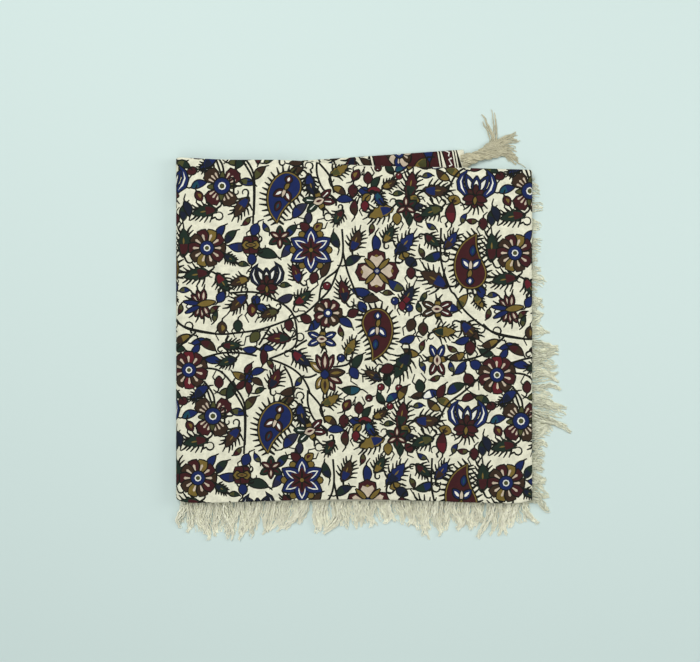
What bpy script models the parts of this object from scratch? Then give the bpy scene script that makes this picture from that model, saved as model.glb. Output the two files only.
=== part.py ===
"""A printed cotton panel, folded in nine, with its loose yarn fringe.

The cloth is folded in three by its depth and then in three by its width. It is one solid: the section
of three layers, swept along the second fold. Each fringe is a narrow strip parted from the cloth's
hem with its locks, and the corner tassel is a twisted head with its strands.
Metres, +Z up, printed face up. The origin is in the middle of the folded panel's flat underside.
"""
import math

import bmesh
import bpy
from mathutils import Vector

MM = 0.001

# The sheet and the layers of one pack, which is the cloth after its first fold
SHEET = 1.0 * MM
AIR = 0.4 * MM
PACK = 3 * SHEET + 2 * AIR
FRONT_RADIUS = SHEET + AIR / 2
BACK_RADIUS = PACK / 2

# The second fold: the outer face of the pack turns at these radii, at these heights
TUCKED_RADIUS = PACK + AIR / 2
OUTER_RADIUS = 1.5 * PACK + AIR
TOP_LEVEL = 2 * OUTER_RADIUS
TUCKED_LEVEL = TOP_LEVEL - 2 * TUCKED_RADIUS

# The folded face, from its left fold to its right one
LEFT = -170 * MM
RIGHT = 170 * MM
TUCKED_END = -152 * MM
HALF_DEPTH = 164 * MM

# Hem strips that carry the fringe, with the gap that parts them from the cloth
STRIP = 7 * MM
PARTING = 0.5 * MM
SIDE_PARTING = 1.0 * MM
STRIP_INSET = 0.5 * MM
TUCKED_EDGE = 12 * MM

# The folded cloth is fuller in its middle than along its folds
FULLNESS = 0.08
RIPPLE = 0.03
RIPPLE_LENGTH = 150 * MM
RIPPLE_SLANT = 0.6
EDGE_POWER = 4

# Back fold of the top part: x, y
TOP_BACK_FOLD = [
    (-170 * MM, 165.5 * MM),
    (-122 * MM, 163.2 * MM),
    (-62 * MM, 162.6 * MM),
    (0 * MM, 158.0 * MM),
    (92 * MM, 155.6 * MM),
    (170 * MM, 153.5 * MM),
]
# Back fold of the tucked part: x, y
TUCKED_BACK_FOLD = [
    (-152 * MM, 147.0 * MM),
    (170 * MM, 153.5 * MM),
]
# Back fold of the lowest part, which comes out behind the others on the right: x, y
UNDER_BACK_FOLD = [
    (-170 * MM, 165.5 * MM),
    (-110 * MM, 161.0 * MM),
    (-64 * MM, 162.8 * MM),
    (96 * MM, 173.4 * MM),
    (168 * MM, 178.0 * MM),
]
# Front fold of every part: x, y
FRONT_FOLD = [
    (-170 * MM, -160.5 * MM),
    (-154 * MM, -163.6 * MM),
    (-60 * MM, -161.2 * MM),
    (6 * MM, -160.2 * MM),
    (74 * MM, -161.8 * MM),
    (154 * MM, -164.0 * MM),
    (170 * MM, -161.0 * MM),
]
# Outer edge of the lowest part's side hem: y, x
SIDE_HEM = [
    (-164 * MM, 167.0 * MM),
    (-50 * MM, 160.0 * MM),
    (30 * MM, 148.0 * MM),
    (110 * MM, 126.0 * MM),
    (176 * MM, 104.0 * MM),
]

# Steps of the sheet's section and of its sweep
TUCKED_STEPS = 6
BEND_STEPS = 5
FACE_STEPS = 10
UNDER_STEPS = 9

# Fringe locks: spacing along the hem, width and thickness
LOCK_PITCH = 6.4 * MM
LOCK_GAP = 1.1 * MM
LOCK_WIDTH = 5.0 * MM
LOCK_THICKNESS = 2.4 * MM
LOCK_CROWN = 0.6
# Rings of a lock: share of its reach, of its width, of its thickness and of its root's height
LOCK_RINGS = [
    (0.12, 1.00, 0.60, 0.95),
    (0.30, 1.00, 0.90, 0.50),
    (0.50, 0.94, 1.00, 0.00),
    (0.75, 0.78, 0.80, 0.00),
    (1.00, 0.40, 0.45, 0.00),
]
# Lower fringe: x, reach in front of the fold, lean to the right
FRONT_LOCKS = [
    (-166 * MM, 28 * MM, -5 * MM),
    (-150 * MM, 36 * MM, 5 * MM),
    (-110 * MM, 36 * MM, 2 * MM),
    (-82 * MM, 35 * MM, -3 * MM),
    (-50 * MM, 29 * MM, -7 * MM),
    (-20 * MM, 34 * MM, 1 * MM),
    (10 * MM, 30 * MM, 4 * MM),
    (40 * MM, 26 * MM, 5 * MM),
    (76 * MM, 39 * MM, 7 * MM),
    (96 * MM, 27 * MM, 0 * MM),
    (118 * MM, 31 * MM, -4 * MM),
    (138 * MM, 35 * MM, -3 * MM),
    (168 * MM, 22 * MM, 9 * MM),
]
# Right fringe: y, x of the lock tips, lean to the back
SIDE_LOCKS = [
    (-156 * MM, 189 * MM, -8 * MM),
    (-140 * MM, 184 * MM, -12 * MM),
    (-126 * MM, 182 * MM, -2 * MM),
    (-108 * MM, 186 * MM, -1 * MM),
    (-90 * MM, 190 * MM, -8 * MM),
    (-74 * MM, 216 * MM, -22 * MM),
    (-62 * MM, 198 * MM, -12 * MM),
    (-46 * MM, 198 * MM, -2 * MM),
    (-20 * MM, 198 * MM, 1 * MM),
    (10 * MM, 184 * MM, -3 * MM),
    (60 * MM, 182 * MM, -5 * MM),
    (120 * MM, 179 * MM, -3 * MM),
    (146 * MM, 177 * MM, -2 * MM),
]
SIDE_FIRST = -160 * MM
SIDE_LAST = 148 * MM
SIDE_CORNER = 173 * MM
FRONT_FIRST = LEFT + OUTER_RADIUS + PARTING
FRONT_LAST = RIGHT - TUCKED_RADIUS - PARTING
# How far the reach of a lock departs from its neighbours, and how fast that changes from lock to lock
UNEVEN_REACH = 0.05
UNEVEN_TURN = 2.4
UNEVEN_DRIFT = 0.9

# Head of the corner tassel, from the hem to the open end: x, y, half width, height, heading in degrees
TASSEL_HEAD = [
    (110.4 * MM, 164.8 * MM, 6.0 * MM, 7.0 * MM, 8),
    (115.5 * MM, 166.4 * MM, 5.2 * MM, 7.6 * MM, 12),
    (121.5 * MM, 168.6 * MM, 5.6 * MM, 7.0 * MM, 18),
    (129.5 * MM, 171.8 * MM, 7.2 * MM, 5.4 * MM, 26),
    (136.0 * MM, 175.4 * MM, 9.2 * MM, 3.4 * MM, 32),
]
HEAD_EDGE_SHARE = 0.4
HEAD_RELIEF = 0.09
HEAD_TWIST_STEP = 1.9
HEAD_COLUMN_TWIST = 0.7
# Tassel strands, from right to back: tip x, tip y, share of the way that they run straight out
TASSEL_STRANDS = [
    (151.5 * MM, 164.5 * MM, 0.30),
    (155.5 * MM, 170.0 * MM, 0.35),
    (154.0 * MM, 176.5 * MM, 0.40),
    (157.5 * MM, 184.0 * MM, 0.45),
    (154.5 * MM, 193.5 * MM, 0.50),
    (145.5 * MM, 196.0 * MM, 0.45),
    (134.0 * MM, 214.5 * MM, 0.20),
    (129.0 * MM, 216.0 * MM, 0.16),
    (123.5 * MM, 213.5 * MM, 0.14),
    (118.0 * MM, 209.5 * MM, 0.12),
]
TASSEL_GAP_SHARE = 0.25
# Rings of a tassel strand: share of its way, width, thickness
TASSEL_RINGS = [
    (0.15, 1.7 * MM, 2.6 * MM),
    (0.35, 1.7 * MM, 2.0 * MM),
    (0.55, 1.7 * MM, 1.8 * MM),
    (0.78, 1.6 * MM, 1.5 * MM),
    (1.00, 1.0 * MM, 1.0 * MM),
]

# Colours and roughness of the two materials
COTTON_GROUND = (0.76, 0.72, 0.58, 1.0)
YARN_CREAM = (0.80, 0.77, 0.66, 1.0)
CLOTH_ROUGHNESS = 0.9
SHARP_ANGLE = math.radians(50)


def along(rows, position):
    """Value of a smooth curve through the first two columns of the rows."""
    last = len(rows) - 1
    index = 0
    while index < last - 1 and rows[index + 1][0] <= position:
        index += 1

    def slope(row):
        before, after = rows[max(row - 1, 0)], rows[min(row + 1, last)]
        return (after[1] - before[1]) / (after[0] - before[0])

    span = rows[index + 1][0] - rows[index][0]
    share = min(max((position - rows[index][0]) / span, 0.0), 1.0)
    rise = rows[index + 1][1] - rows[index][1]
    start = slope(index) * span
    end = slope(index + 1) * span
    square = share * share
    cube = square * share
    eased = rise * (3 * square - 2 * cube)
    return rows[index][1] + eased + start * (cube - 2 * square + share) + end * (cube - square)


def fullness(x, y):
    """Factor on every height, 1 along the folds and more in the middle of the panel."""
    across = max(1 - (x / RIGHT) ** EDGE_POWER, 0.0)
    deep = max(1 - (y / HALF_DEPTH) ** EDGE_POWER, 0.0)
    slanted = math.sin(math.tau * (x + RIPPLE_SLANT * y) / RIPPLE_LENGTH)
    ripple = slanted * math.cos(math.tau * y / RIPPLE_LENGTH)
    return 1 + across * deep * (FULLNESS + RIPPLE * ripple)


def straight(start, end, depth, inward, steps):
    """Points of a flat layer as (y, depth, inward y, inward depth), without the last."""
    return [(start + (end - start) * step / steps, depth, 0.0, inward) for step in range(steps)]


def bend(centre, radius, start_angle, steps):
    """Points of a half turn round a centre, without the last, with the way inward."""
    points = []
    for step in range(steps):
        angle = math.radians(start_angle + 180 * step / steps)
        out_y, out_depth = math.cos(angle), math.sin(angle)
        points.append((centre[0] + radius * out_y, centre[1] + radius * out_depth, -out_y, -out_depth))
    return points


def first_fold(front, back):
    """Section of the pack: tucked layer, front fold, top layer, back fold and lowest layer."""
    front_centre = (front + FRONT_RADIUS, FRONT_RADIUS)
    back_centre = (back - BACK_RADIUS, BACK_RADIUS)
    hem = front + STRIP_INSET + STRIP + PARTING
    points = straight(back - TUCKED_EDGE, front_centre[0], 2 * FRONT_RADIUS, -1.0, TUCKED_STEPS)
    points += bend(front_centre, FRONT_RADIUS, 90, BEND_STEPS)
    points += straight(front_centre[0], back_centre[0], 0.0, 1.0, FACE_STEPS)
    points += bend(back_centre, BACK_RADIUS, -90, BEND_STEPS)
    points += straight(back_centre[0], hem, PACK, -1.0, FACE_STEPS)
    points.append((hem, PACK, 0.0, -1.0))
    return points


def under_x(share, y):
    """Place across the lowest part, from its left fold to its side hem."""
    start = LEFT + OUTER_RADIUS
    return start + share * (along(SIDE_HEM, y) - STRIP - SIDE_PARTING - start)


def second_fold():
    """Stations of the sweep: outer face (x, z), way inward, back fold and the share of the lowest part."""
    right_x = RIGHT - TUCKED_RADIUS
    left_x = LEFT + OUTER_RADIUS
    stations = []
    for x, z, inward_x, inward_z in straight(TUCKED_END, right_x, TUCKED_LEVEL, 1.0, TUCKED_STEPS):
        stations.append(((x, z), (inward_x, inward_z), along(TUCKED_BACK_FOLD, x), None))
    right_centre = (right_x, TUCKED_LEVEL + TUCKED_RADIUS)
    for x, z, inward_x, inward_z in bend(right_centre, TUCKED_RADIUS, -90, BEND_STEPS):
        stations.append(((x, z), (inward_x, inward_z), along(TOP_BACK_FOLD, x), None))
    for x, z, inward_x, inward_z in straight(right_x, left_x, TOP_LEVEL, -1.0, FACE_STEPS):
        stations.append(((x, z), (inward_x, inward_z), along(TOP_BACK_FOLD, x), None))
    for x, z, inward_x, inward_z in bend((left_x, OUTER_RADIUS), OUTER_RADIUS, 90, BEND_STEPS + 1):
        stations.append(((x, z), (inward_x, inward_z), along(UNDER_BACK_FOLD, x), None))
    for step in range(UNDER_STEPS + 1):
        share = step / UNDER_STEPS
        back = along(UNDER_BACK_FOLD, under_x(share, HALF_DEPTH))
        stations.append(((under_x(share, -HALF_DEPTH), 0.0), (0.0, 1.0), back, share))
    return stations


def cloth_point(station, y, depth):
    """Place of a point of the pack's section at a station of the sweep."""
    (x, z), (inward_x, inward_z), _, share = station
    if share is not None:
        x = under_x(share, y)
    x += inward_x * depth
    z += inward_z * depth
    return Vector((x, y, z * fullness(x, y)))


def make_object(name, mesh_data, material):
    """An object of one closed mesh, its faces turned outwards."""
    bmesh.ops.recalc_face_normals(mesh_data, faces=mesh_data.faces[:])
    mesh = bpy.data.meshes.new(name)
    mesh_data.to_mesh(mesh)
    mesh_data.free()
    mesh.shade_smooth()
    mesh.set_sharp_from_angle(angle=SHARP_ANGLE)
    mesh.materials.append(material)
    item = bpy.data.objects.new(name, mesh)
    bpy.context.collection.objects.link(item)
    return item


def make_material(name, colour):
    """A matt cotton."""
    material = bpy.data.materials.new(name)
    material.use_nodes = True
    shader = material.node_tree.nodes["Principled BSDF"]
    shader.inputs["Base Color"].default_value = colour
    shader.inputs["Roughness"].default_value = CLOTH_ROUGHNESS
    return material


def make_cloth(material):
    """The folded panel: printed side and back of the sheet, closed round its four edges."""
    mesh_data = bmesh.new()
    printed, plain = [], []
    for station in second_fold():
        front = along(FRONT_FOLD, station[0][0])
        section = first_fold(front, station[2])
        outer = [cloth_point(station, y, depth) for y, depth, _, _ in section]
        inner = [
            cloth_point(station, y + SHEET * inward_y, depth + SHEET * inward_depth)
            for y, depth, inward_y, inward_depth in section
        ]
        printed.append([mesh_data.verts.new(point) for point in outer])
        plain.append([mesh_data.verts.new(point) for point in inner])
    across, deep = len(printed) - 1, len(printed[0]) - 1
    for column in range(across):
        for row in range(deep):
            for grid in (printed, plain):
                corners = [grid[column][row], grid[column + 1][row]]
                corners += [grid[column + 1][row + 1], grid[column][row + 1]]
                mesh_data.faces.new(corners)
        for row in (0, deep):
            corners = [printed[column][row], printed[column + 1][row]]
            corners += [plain[column + 1][row], plain[column][row]]
            mesh_data.faces.new(corners)
    for row in range(deep):
        for column in (0, across):
            corners = [printed[column][row], printed[column][row + 1]]
            corners += [plain[column][row + 1], plain[column][row]]
            mesh_data.faces.new(corners)
    return make_object("printed_panel", mesh_data, material)


def make_comb(name, columns, rows, corner, strands, material):
    """A backing with a strand drawn out of every second face of its outer wall.

    corner(column, row, level) places a corner of the backing, with row 0 inside and level 0 below.
    strands holds the rings of each strand, each ring in the order low left, low right, high right, high left.
    """
    mesh_data = bmesh.new()
    grid = [
        [[mesh_data.verts.new(corner(column, row, level)) for level in (0, 1)] for row in range(rows)]
        for column in range(columns)
    ]

    def face(*places):
        mesh_data.faces.new([grid[column][row][level] for column, row, level in places])

    outside = rows - 1
    for column in range(columns - 1):
        after = column + 1
        for row in range(outside):
            for level in (0, 1):
                face((column, row, level), (after, row, level), (after, row + 1, level), (column, row + 1, level))
        face((column, 0, 0), (after, 0, 0), (after, 0, 1), (column, 0, 1))
        if column % 2:
            face((column, outside, 0), (after, outside, 0), (after, outside, 1), (column, outside, 1))
    for column in (0, columns - 1):
        for row in range(outside):
            face((column, row, 0), (column, row + 1, 0), (column, row + 1, 1), (column, row, 1))
    for index, rings in enumerate(strands):
        left, right = grid[2 * index][outside], grid[2 * index + 1][outside]
        ring = [left[0], right[0], right[1], left[1]]
        for points in rings:
            following = [mesh_data.verts.new(point) for point in points]
            for side in range(4):
                after = (side + 1) % 4
                mesh_data.faces.new([ring[side], ring[after], following[after], following[side]])
            ring = following
        mesh_data.faces.new(ring)
    return make_object(name, mesh_data, material)


def ring_at(centre, heading, width, low, thickness):
    """Four corners of a strand's section, flat below and narrower above."""
    side = Vector((-heading.y, heading.x, 0)).normalized() * (width / 2)
    floor_point = Vector((centre.x, centre.y, low))
    crown_point = Vector((centre.x, centre.y, low + thickness))
    crown = side * LOCK_CROWN
    return [floor_point - side, floor_point + side, crown_point + crown, crown_point - crown]


def lock_rings(root, outward, sideways, reach, lean, height):
    """Rings of a lock that falls from its root to the floor and leans more towards its tip."""
    rings = []
    for share, width, thickness, rise in LOCK_RINGS:
        centre = root + outward * (reach * share) + sideways * (lean * share * share)
        heading = outward * reach + sideways * (2 * lean * share)
        rings.append(ring_at(centre, heading, LOCK_WIDTH * width, height * rise, LOCK_THICKNESS * thickness))
    return rings


def uneven(index):
    """A factor near 1 that differs from lock to lock."""
    return 1 + UNEVEN_REACH * math.sin(UNEVEN_TURN * index) * math.cos(UNEVEN_DRIFT * index)


def lock_places(first, last):
    """Both edges of each lock along the hem."""
    count = int((last - first) / LOCK_PITCH)
    pitch = (last - first) / count
    places = []
    for index in range(count):
        places += [first + index * pitch + LOCK_GAP / 2, first + (index + 1) * pitch - LOCK_GAP / 2]
    return places


def make_front_fringe(material):
    """The fringe of the hem that lies under the top part, along the front fold."""
    places = lock_places(FRONT_FIRST, FRONT_LAST)
    low = TOP_LEVEL - PACK
    reaches = [(x, reach) for x, reach, _ in FRONT_LOCKS]
    leans = [(x, lean) for x, _, lean in FRONT_LOCKS]

    def corner(column, row, level):
        x = places[column]
        y = along(FRONT_FOLD, x) + STRIP_INSET + STRIP * (1 - row)
        return Vector((x, y, (low + SHEET * level) * fullness(x, y)))

    strands = []
    for index in range(len(places) // 2):
        x = (places[2 * index] + places[2 * index + 1]) / 2
        root = Vector((x, along(FRONT_FOLD, x) + STRIP_INSET, 0))
        reach = along(reaches, x) * uneven(index) + STRIP_INSET
        height = low * fullness(x, root.y)
        strands.append(lock_rings(root, Vector((0, -1, 0)), Vector((1, 0, 0)), reach, along(leans, x), height))
    return make_comb("front_fringe", len(places), 2, corner, strands, material)


def make_side_fringe(material):
    """The fringe of the side hem, which comes out from under the right fold and lies flat."""
    places = lock_places(SIDE_FIRST, SIDE_LAST)
    locks = len(places) // 2
    places.append(SIDE_CORNER)
    ends = [(y, end) for y, end, _ in SIDE_LOCKS]
    leans = [(y, lean) for y, _, lean in SIDE_LOCKS]

    def corner(column, row, level):
        y = places[column]
        return Vector((along(SIDE_HEM, y) - STRIP * (1 - row), y, PACK * level))

    strands = []
    for index in range(locks):
        y = (places[2 * index] + places[2 * index + 1]) / 2
        root = Vector((along(SIDE_HEM, y), y, 0))
        reach = (along(ends, y) - root.x) * uneven(index)
        strands.append(lock_rings(root, Vector((1, 0, 0)), Vector((0, 1, 0)), reach, along(leans, y), 0.0))
    return make_comb("side_fringe", len(places), 2, corner, strands, material)


def make_corner_tassel(material):
    """The twisted head at the hem's back corner, and the strands that fan out of it."""
    columns = 2 * len(TASSEL_STRANDS)

    def corner(column, row, level):
        x, y, half_width, height, heading = TASSEL_HEAD[row]
        angle = math.radians(heading)
        pair, side = divmod(column, 2)
        share = (pair + (1 - TASSEL_GAP_SHARE if side else TASSEL_GAP_SHARE)) / len(TASSEL_STRANDS)
        offset = half_width * (2 * share - 1)
        dome = HEAD_EDGE_SHARE + (1 - HEAD_EDGE_SHARE) * math.sin(math.pi * share)
        twist = 1 + HEAD_RELIEF * math.sin(row * HEAD_TWIST_STEP + column * HEAD_COLUMN_TWIST)
        top = height * dome * twist
        return Vector((x - math.sin(angle) * offset, y + math.cos(angle) * offset, top * level))

    last = len(TASSEL_HEAD) - 1
    heading = math.radians(TASSEL_HEAD[last][4])
    outward = Vector((math.cos(heading), math.sin(heading), 0))
    strands = []
    for index, (tip_x, tip_y, out_share) in enumerate(TASSEL_STRANDS):
        root = (corner(2 * index, last, 0) + corner(2 * index + 1, last, 0)) / 2
        tip = Vector((tip_x, tip_y, 0))
        middle = root + outward * ((tip - root).length * out_share)
        rings = []
        for share, width, thickness in TASSEL_RINGS:
            centre = root.lerp(middle, share).lerp(middle.lerp(tip, share), share)
            way = middle.lerp(tip, share) - root.lerp(middle, share)
            rings.append(ring_at(centre, way, width, 0.0, thickness))
        strands.append(rings)
    return make_comb("corner_tassel", columns, last + 1, corner, strands, material)


def main():
    """Clear the scene and make the four pieces."""
    for item in list(bpy.data.objects):
        bpy.data.objects.remove(item, do_unlink=True)
    make_cloth(make_material("printed cotton", COTTON_GROUND))
    make_front_fringe(make_material("front fringe yarn", YARN_CREAM))
    make_side_fringe(make_material("side fringe yarn", YARN_CREAM))
    make_corner_tassel(make_material("tassel yarn", YARN_CREAM))


main()
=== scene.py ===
"""Looks of a folded printed cotton panel with its loose yarn fringe.

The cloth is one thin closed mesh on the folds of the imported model. Its print is part of the mesh: each
dye is a region of faces, drawn flat from small formulas and a chart of one repeat, then folded with the
cloth. The fringe yarns are made with Geometry Nodes along the path of each lock.
"""
import math
import random

import bpy
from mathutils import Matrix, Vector, noise
from mathutils.geometry import delaunay_2d_cdt


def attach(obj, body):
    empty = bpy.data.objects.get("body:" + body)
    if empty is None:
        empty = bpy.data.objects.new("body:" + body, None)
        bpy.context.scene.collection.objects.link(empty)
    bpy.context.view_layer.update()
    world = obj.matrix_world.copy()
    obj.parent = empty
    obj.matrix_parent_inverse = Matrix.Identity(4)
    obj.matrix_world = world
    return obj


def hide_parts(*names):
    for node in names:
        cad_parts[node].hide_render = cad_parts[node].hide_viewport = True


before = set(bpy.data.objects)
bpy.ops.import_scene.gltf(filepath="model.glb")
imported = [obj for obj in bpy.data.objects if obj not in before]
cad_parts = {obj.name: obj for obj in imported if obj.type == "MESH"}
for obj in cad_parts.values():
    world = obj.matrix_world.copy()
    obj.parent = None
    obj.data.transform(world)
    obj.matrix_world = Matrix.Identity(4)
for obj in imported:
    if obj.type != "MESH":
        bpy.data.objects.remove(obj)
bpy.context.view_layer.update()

bl_info = {
    "name": "Folded Printed Panel",
    "version": (1, 0, 0),
    "blender": (4, 5, 0),
    "location": "3D Viewport > Sidebar > Folded Panel",
    "description": "Makes the printed cloth, its yarn fringe and the stage",
    "category": "Object",
}

MM = 0.001


def in_mm(*rows):
    """Rows of lengths that are given in millimetres."""
    return [tuple(value * MM for value in row) for row in rows]


# Folds of the cloth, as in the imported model: layers, radii and levels
SHEET = 1.0 * MM
AIR = 0.4 * MM
PACK = 3 * SHEET + 2 * AIR
FRONT_RADIUS = SHEET + AIR / 2
BACK_RADIUS = PACK / 2
TUCKED_RADIUS = PACK + AIR / 2
OUTER_RADIUS = 1.5 * PACK + AIR
TOP_LEVEL = 2 * OUTER_RADIUS
TUCKED_LEVEL = TOP_LEVEL - 2 * TUCKED_RADIUS

LEFT = -170 * MM
RIGHT = 170 * MM
TUCKED_END = -152 * MM
HALF_DEPTH = 164 * MM
STRIP_INSET = 0.5 * MM
TUCKED_EDGE = 12 * MM
FULLNESS = 0.08
RIPPLE = 0.03
RIPPLE_LENGTH = 150 * MM
RIPPLE_SLANT = 0.6
EDGE_POWER = 4

# Back fold of the top part: x, y
TOP_BACK_FOLD = in_mm((-170, 165.5), (-122, 163.2), (-62, 162.6), (0, 158.0), (92, 155.6), (170, 153.5))
# Back fold of the tucked part: x, y
TUCKED_BACK_FOLD = in_mm((-152, 147.0), (170, 153.5))
# Back fold of the lowest part: x, y
UNDER_BACK_FOLD = in_mm((-170, 165.5), (-110, 161.0), (-64, 162.8), (96, 173.4), (168, 178.0))
# Front fold of every part: x, y
FRONT_FOLD = in_mm(
    (-170, -160.5), (-154, -163.6), (-60, -161.2), (6, -160.2), (74, -161.8), (154, -164.0), (170, -161.0)
)
# Outer edge of the lowest part's side hem: y, x
SIDE_HEM = in_mm((-164, 167.0), (-50, 160.0), (30, 148.0), (110, 126.0), (176, 104.0))

# The cloth laid flat: s runs to the right and t to the back, with the top face in the middle
FOLD_LEFT = LEFT + OUTER_RADIUS
FOLD_RIGHT = RIGHT - TUCKED_RADIUS
UNDER_START = FOLD_LEFT - math.pi * OUTER_RADIUS
TUCKED_START = FOLD_RIGHT + math.pi * TUCKED_RADIUS
UNDER_LENGTH = 300 * MM
LAYER_LENGTH = 318 * MM
TUCKED_LENGTH = 306 * MM
S_MIN = UNDER_START - UNDER_LENGTH
S_MAX = TUCKED_START + FOLD_RIGHT - TUCKED_END
T_MIN = -HALF_DEPTH - TUCKED_LENGTH
T_MAX = HALF_DEPTH + LAYER_LENGTH

# Fine waves of the face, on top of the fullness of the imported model
WAVE_HEIGHT = 0.022
WAVE_LENGTH = 46 * MM

# The flat chart of the print: one step of the chart, the chart's middle and the two ways of the repeat
CHART_STEP = 0.95 * MM
CHART_MIDDLE = (354, 331)
REPEAT_ACROSS = (308, 5)
REPEAT_DOWN = (-9, 230)


def along(rows, position):
    """Value of a smooth curve through the first two columns of the rows."""
    last = len(rows) - 1
    index = 0
    while index < last - 1 and rows[index + 1][0] <= position:
        index += 1

    def slope(row):
        before, after = rows[max(row - 1, 0)], rows[min(row + 1, last)]
        return (after[1] - before[1]) / (after[0] - before[0])

    span = rows[index + 1][0] - rows[index][0]
    share = min(max((position - rows[index][0]) / span, 0.0), 1.0)
    rise = rows[index + 1][1] - rows[index][1]
    start = slope(index) * span
    end = slope(index + 1) * span
    square = share * share
    cube = square * share
    eased = rise * (3 * square - 2 * cube)
    return rows[index][1] + eased + start * (cube - 2 * square + share) + end * (cube - square)


def fullness(x, y):
    """Factor on every height, 1 along the folds and more in the middle of the panel."""
    across = max(1 - (x / RIGHT) ** EDGE_POWER, 0.0)
    deep = max(1 - (y / HALF_DEPTH) ** EDGE_POWER, 0.0)
    slanted = math.sin(math.tau * (x + RIPPLE_SLANT * y) / RIPPLE_LENGTH)
    ripple = slanted * math.cos(math.tau * y / RIPPLE_LENGTH)
    return 1 + across * deep * (FULLNESS + RIPPLE * ripple)


def fine_wave(x, y):
    """Small uneven waves of the worn, folded cotton."""
    place = Vector((x, y, 0)) / WAVE_LENGTH
    return 1 + WAVE_HEIGHT * noise.noise(place) + WAVE_HEIGHT / 3 * noise.noise(place * 3)


def under_x(share, y):
    """Place across the lowest part, from its left fold to its side hem."""
    return FOLD_LEFT + share * (along(SIDE_HEM, y) - FOLD_LEFT)


def across_fold(s):
    """Outer face across the second fold.

    Gives x, z, the way inward as x and z, the back fold, the front fold and the share of the lowest part.
    """
    if s > TUCKED_START:
        x = FOLD_RIGHT - (s - TUCKED_START)
        return x, TUCKED_LEVEL, 0.0, 1.0, along(TUCKED_BACK_FOLD, x), along(FRONT_FOLD, x), None
    if s > FOLD_RIGHT:
        angle = (s - FOLD_RIGHT) / TUCKED_RADIUS
        x = FOLD_RIGHT + TUCKED_RADIUS * math.sin(angle)
        z = TUCKED_LEVEL + TUCKED_RADIUS * (1 + math.cos(angle))
        way = (-math.sin(angle), -math.cos(angle))
        return x, z, way[0], way[1], along(TOP_BACK_FOLD, x), along(FRONT_FOLD, x), None
    if s > FOLD_LEFT:
        return s, TOP_LEVEL, 0.0, -1.0, along(TOP_BACK_FOLD, s), along(FRONT_FOLD, s), None
    if s > UNDER_START:
        angle = (FOLD_LEFT - s) / OUTER_RADIUS
        x = FOLD_LEFT - OUTER_RADIUS * math.sin(angle)
        z = OUTER_RADIUS * (1 + math.cos(angle))
        way = (math.sin(angle), -math.cos(angle))
        return x, z, way[0], way[1], along(UNDER_BACK_FOLD, x), along(FRONT_FOLD, x), None
    share = (UNDER_START - s) / UNDER_LENGTH
    back = along(UNDER_BACK_FOLD, under_x(share, HALF_DEPTH))
    front = along(FRONT_FOLD, under_x(share, -HALF_DEPTH))
    return under_x(share, 0.0), 0.0, 0.0, 1.0, back, front, share


def deep_fold(t, back, front):
    """Section of the pack: y, depth in the pack and the way inward as (y, depth)."""
    back_start = back - BACK_RADIUS
    front_start = front + FRONT_RADIUS
    back_end = back_start + math.pi * BACK_RADIUS
    front_end = front_start - math.pi * FRONT_RADIUS
    if t > back_end:
        share = (t - back_end) / (T_MAX - back_end)
        hem = front + STRIP_INSET
        return back_start + share * (hem - back_start), PACK, 0.0, -1.0
    if t > back_start:
        angle = (t - back_start) / BACK_RADIUS
        y = back_start + BACK_RADIUS * math.sin(angle)
        return y, BACK_RADIUS * (1 - math.cos(angle)), -math.sin(angle), math.cos(angle)
    if t > front_start:
        return t, 0.0, 0.0, 1.0
    if t > front_end:
        angle = (front_start - t) / FRONT_RADIUS
        y = front_start - FRONT_RADIUS * math.sin(angle)
        return y, FRONT_RADIUS * (1 - math.cos(angle)), math.sin(angle), math.cos(angle)
    share = (front_end - t) / (front_end - T_MIN)
    return front_start + share * (back - TUCKED_EDGE - front_start), 2 * FRONT_RADIUS, 0.0, -1.0


def cloth_point(s, t, inset):
    """Place of a point of the flat cloth once it is folded, inset from its printed face."""
    x, z, inward_x, inward_z, back, front, share = across_fold(s)
    y, depth, inward_y, inward_depth = deep_fold(t, back, front)
    y += inset * inward_y
    depth += inset * inward_depth
    if share is not None:
        x = under_x(share, y)
    x += inward_x * depth
    z += inward_z * depth
    return Vector((x, y, z * fullness(x, y) * fine_wave(x, y)))


# Dyes of the print: the property that holds each colour
DYES = ("ground", "black", "blue", "navy", "teal", "maroon", "red", "brown")
DYES += ("ochre", "olive", "green", "purple", "petal", "hem", "back", "white")

# Widths of the pen's lines in the print, and how far a dye may lie off its outline
STEM_LINE = 2.0 * MM
LINE = 2.1 * MM
THIN_LINE = 1.8 * MM
HAIR_FOOT = 2.8 * MM
HAIR_END = 1.1 * MM
EDGE_LINE = 1.15 * MM
DYE_SHIFT = 0.25 * MM
PRINT_SEED = 7


def signed_area(points):
    """Area within an outline, negative where it runs clockwise."""
    area = 0.0
    for index, point in enumerate(points):
        area += points[index - 1].cross(point) / 2
    return area


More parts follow.
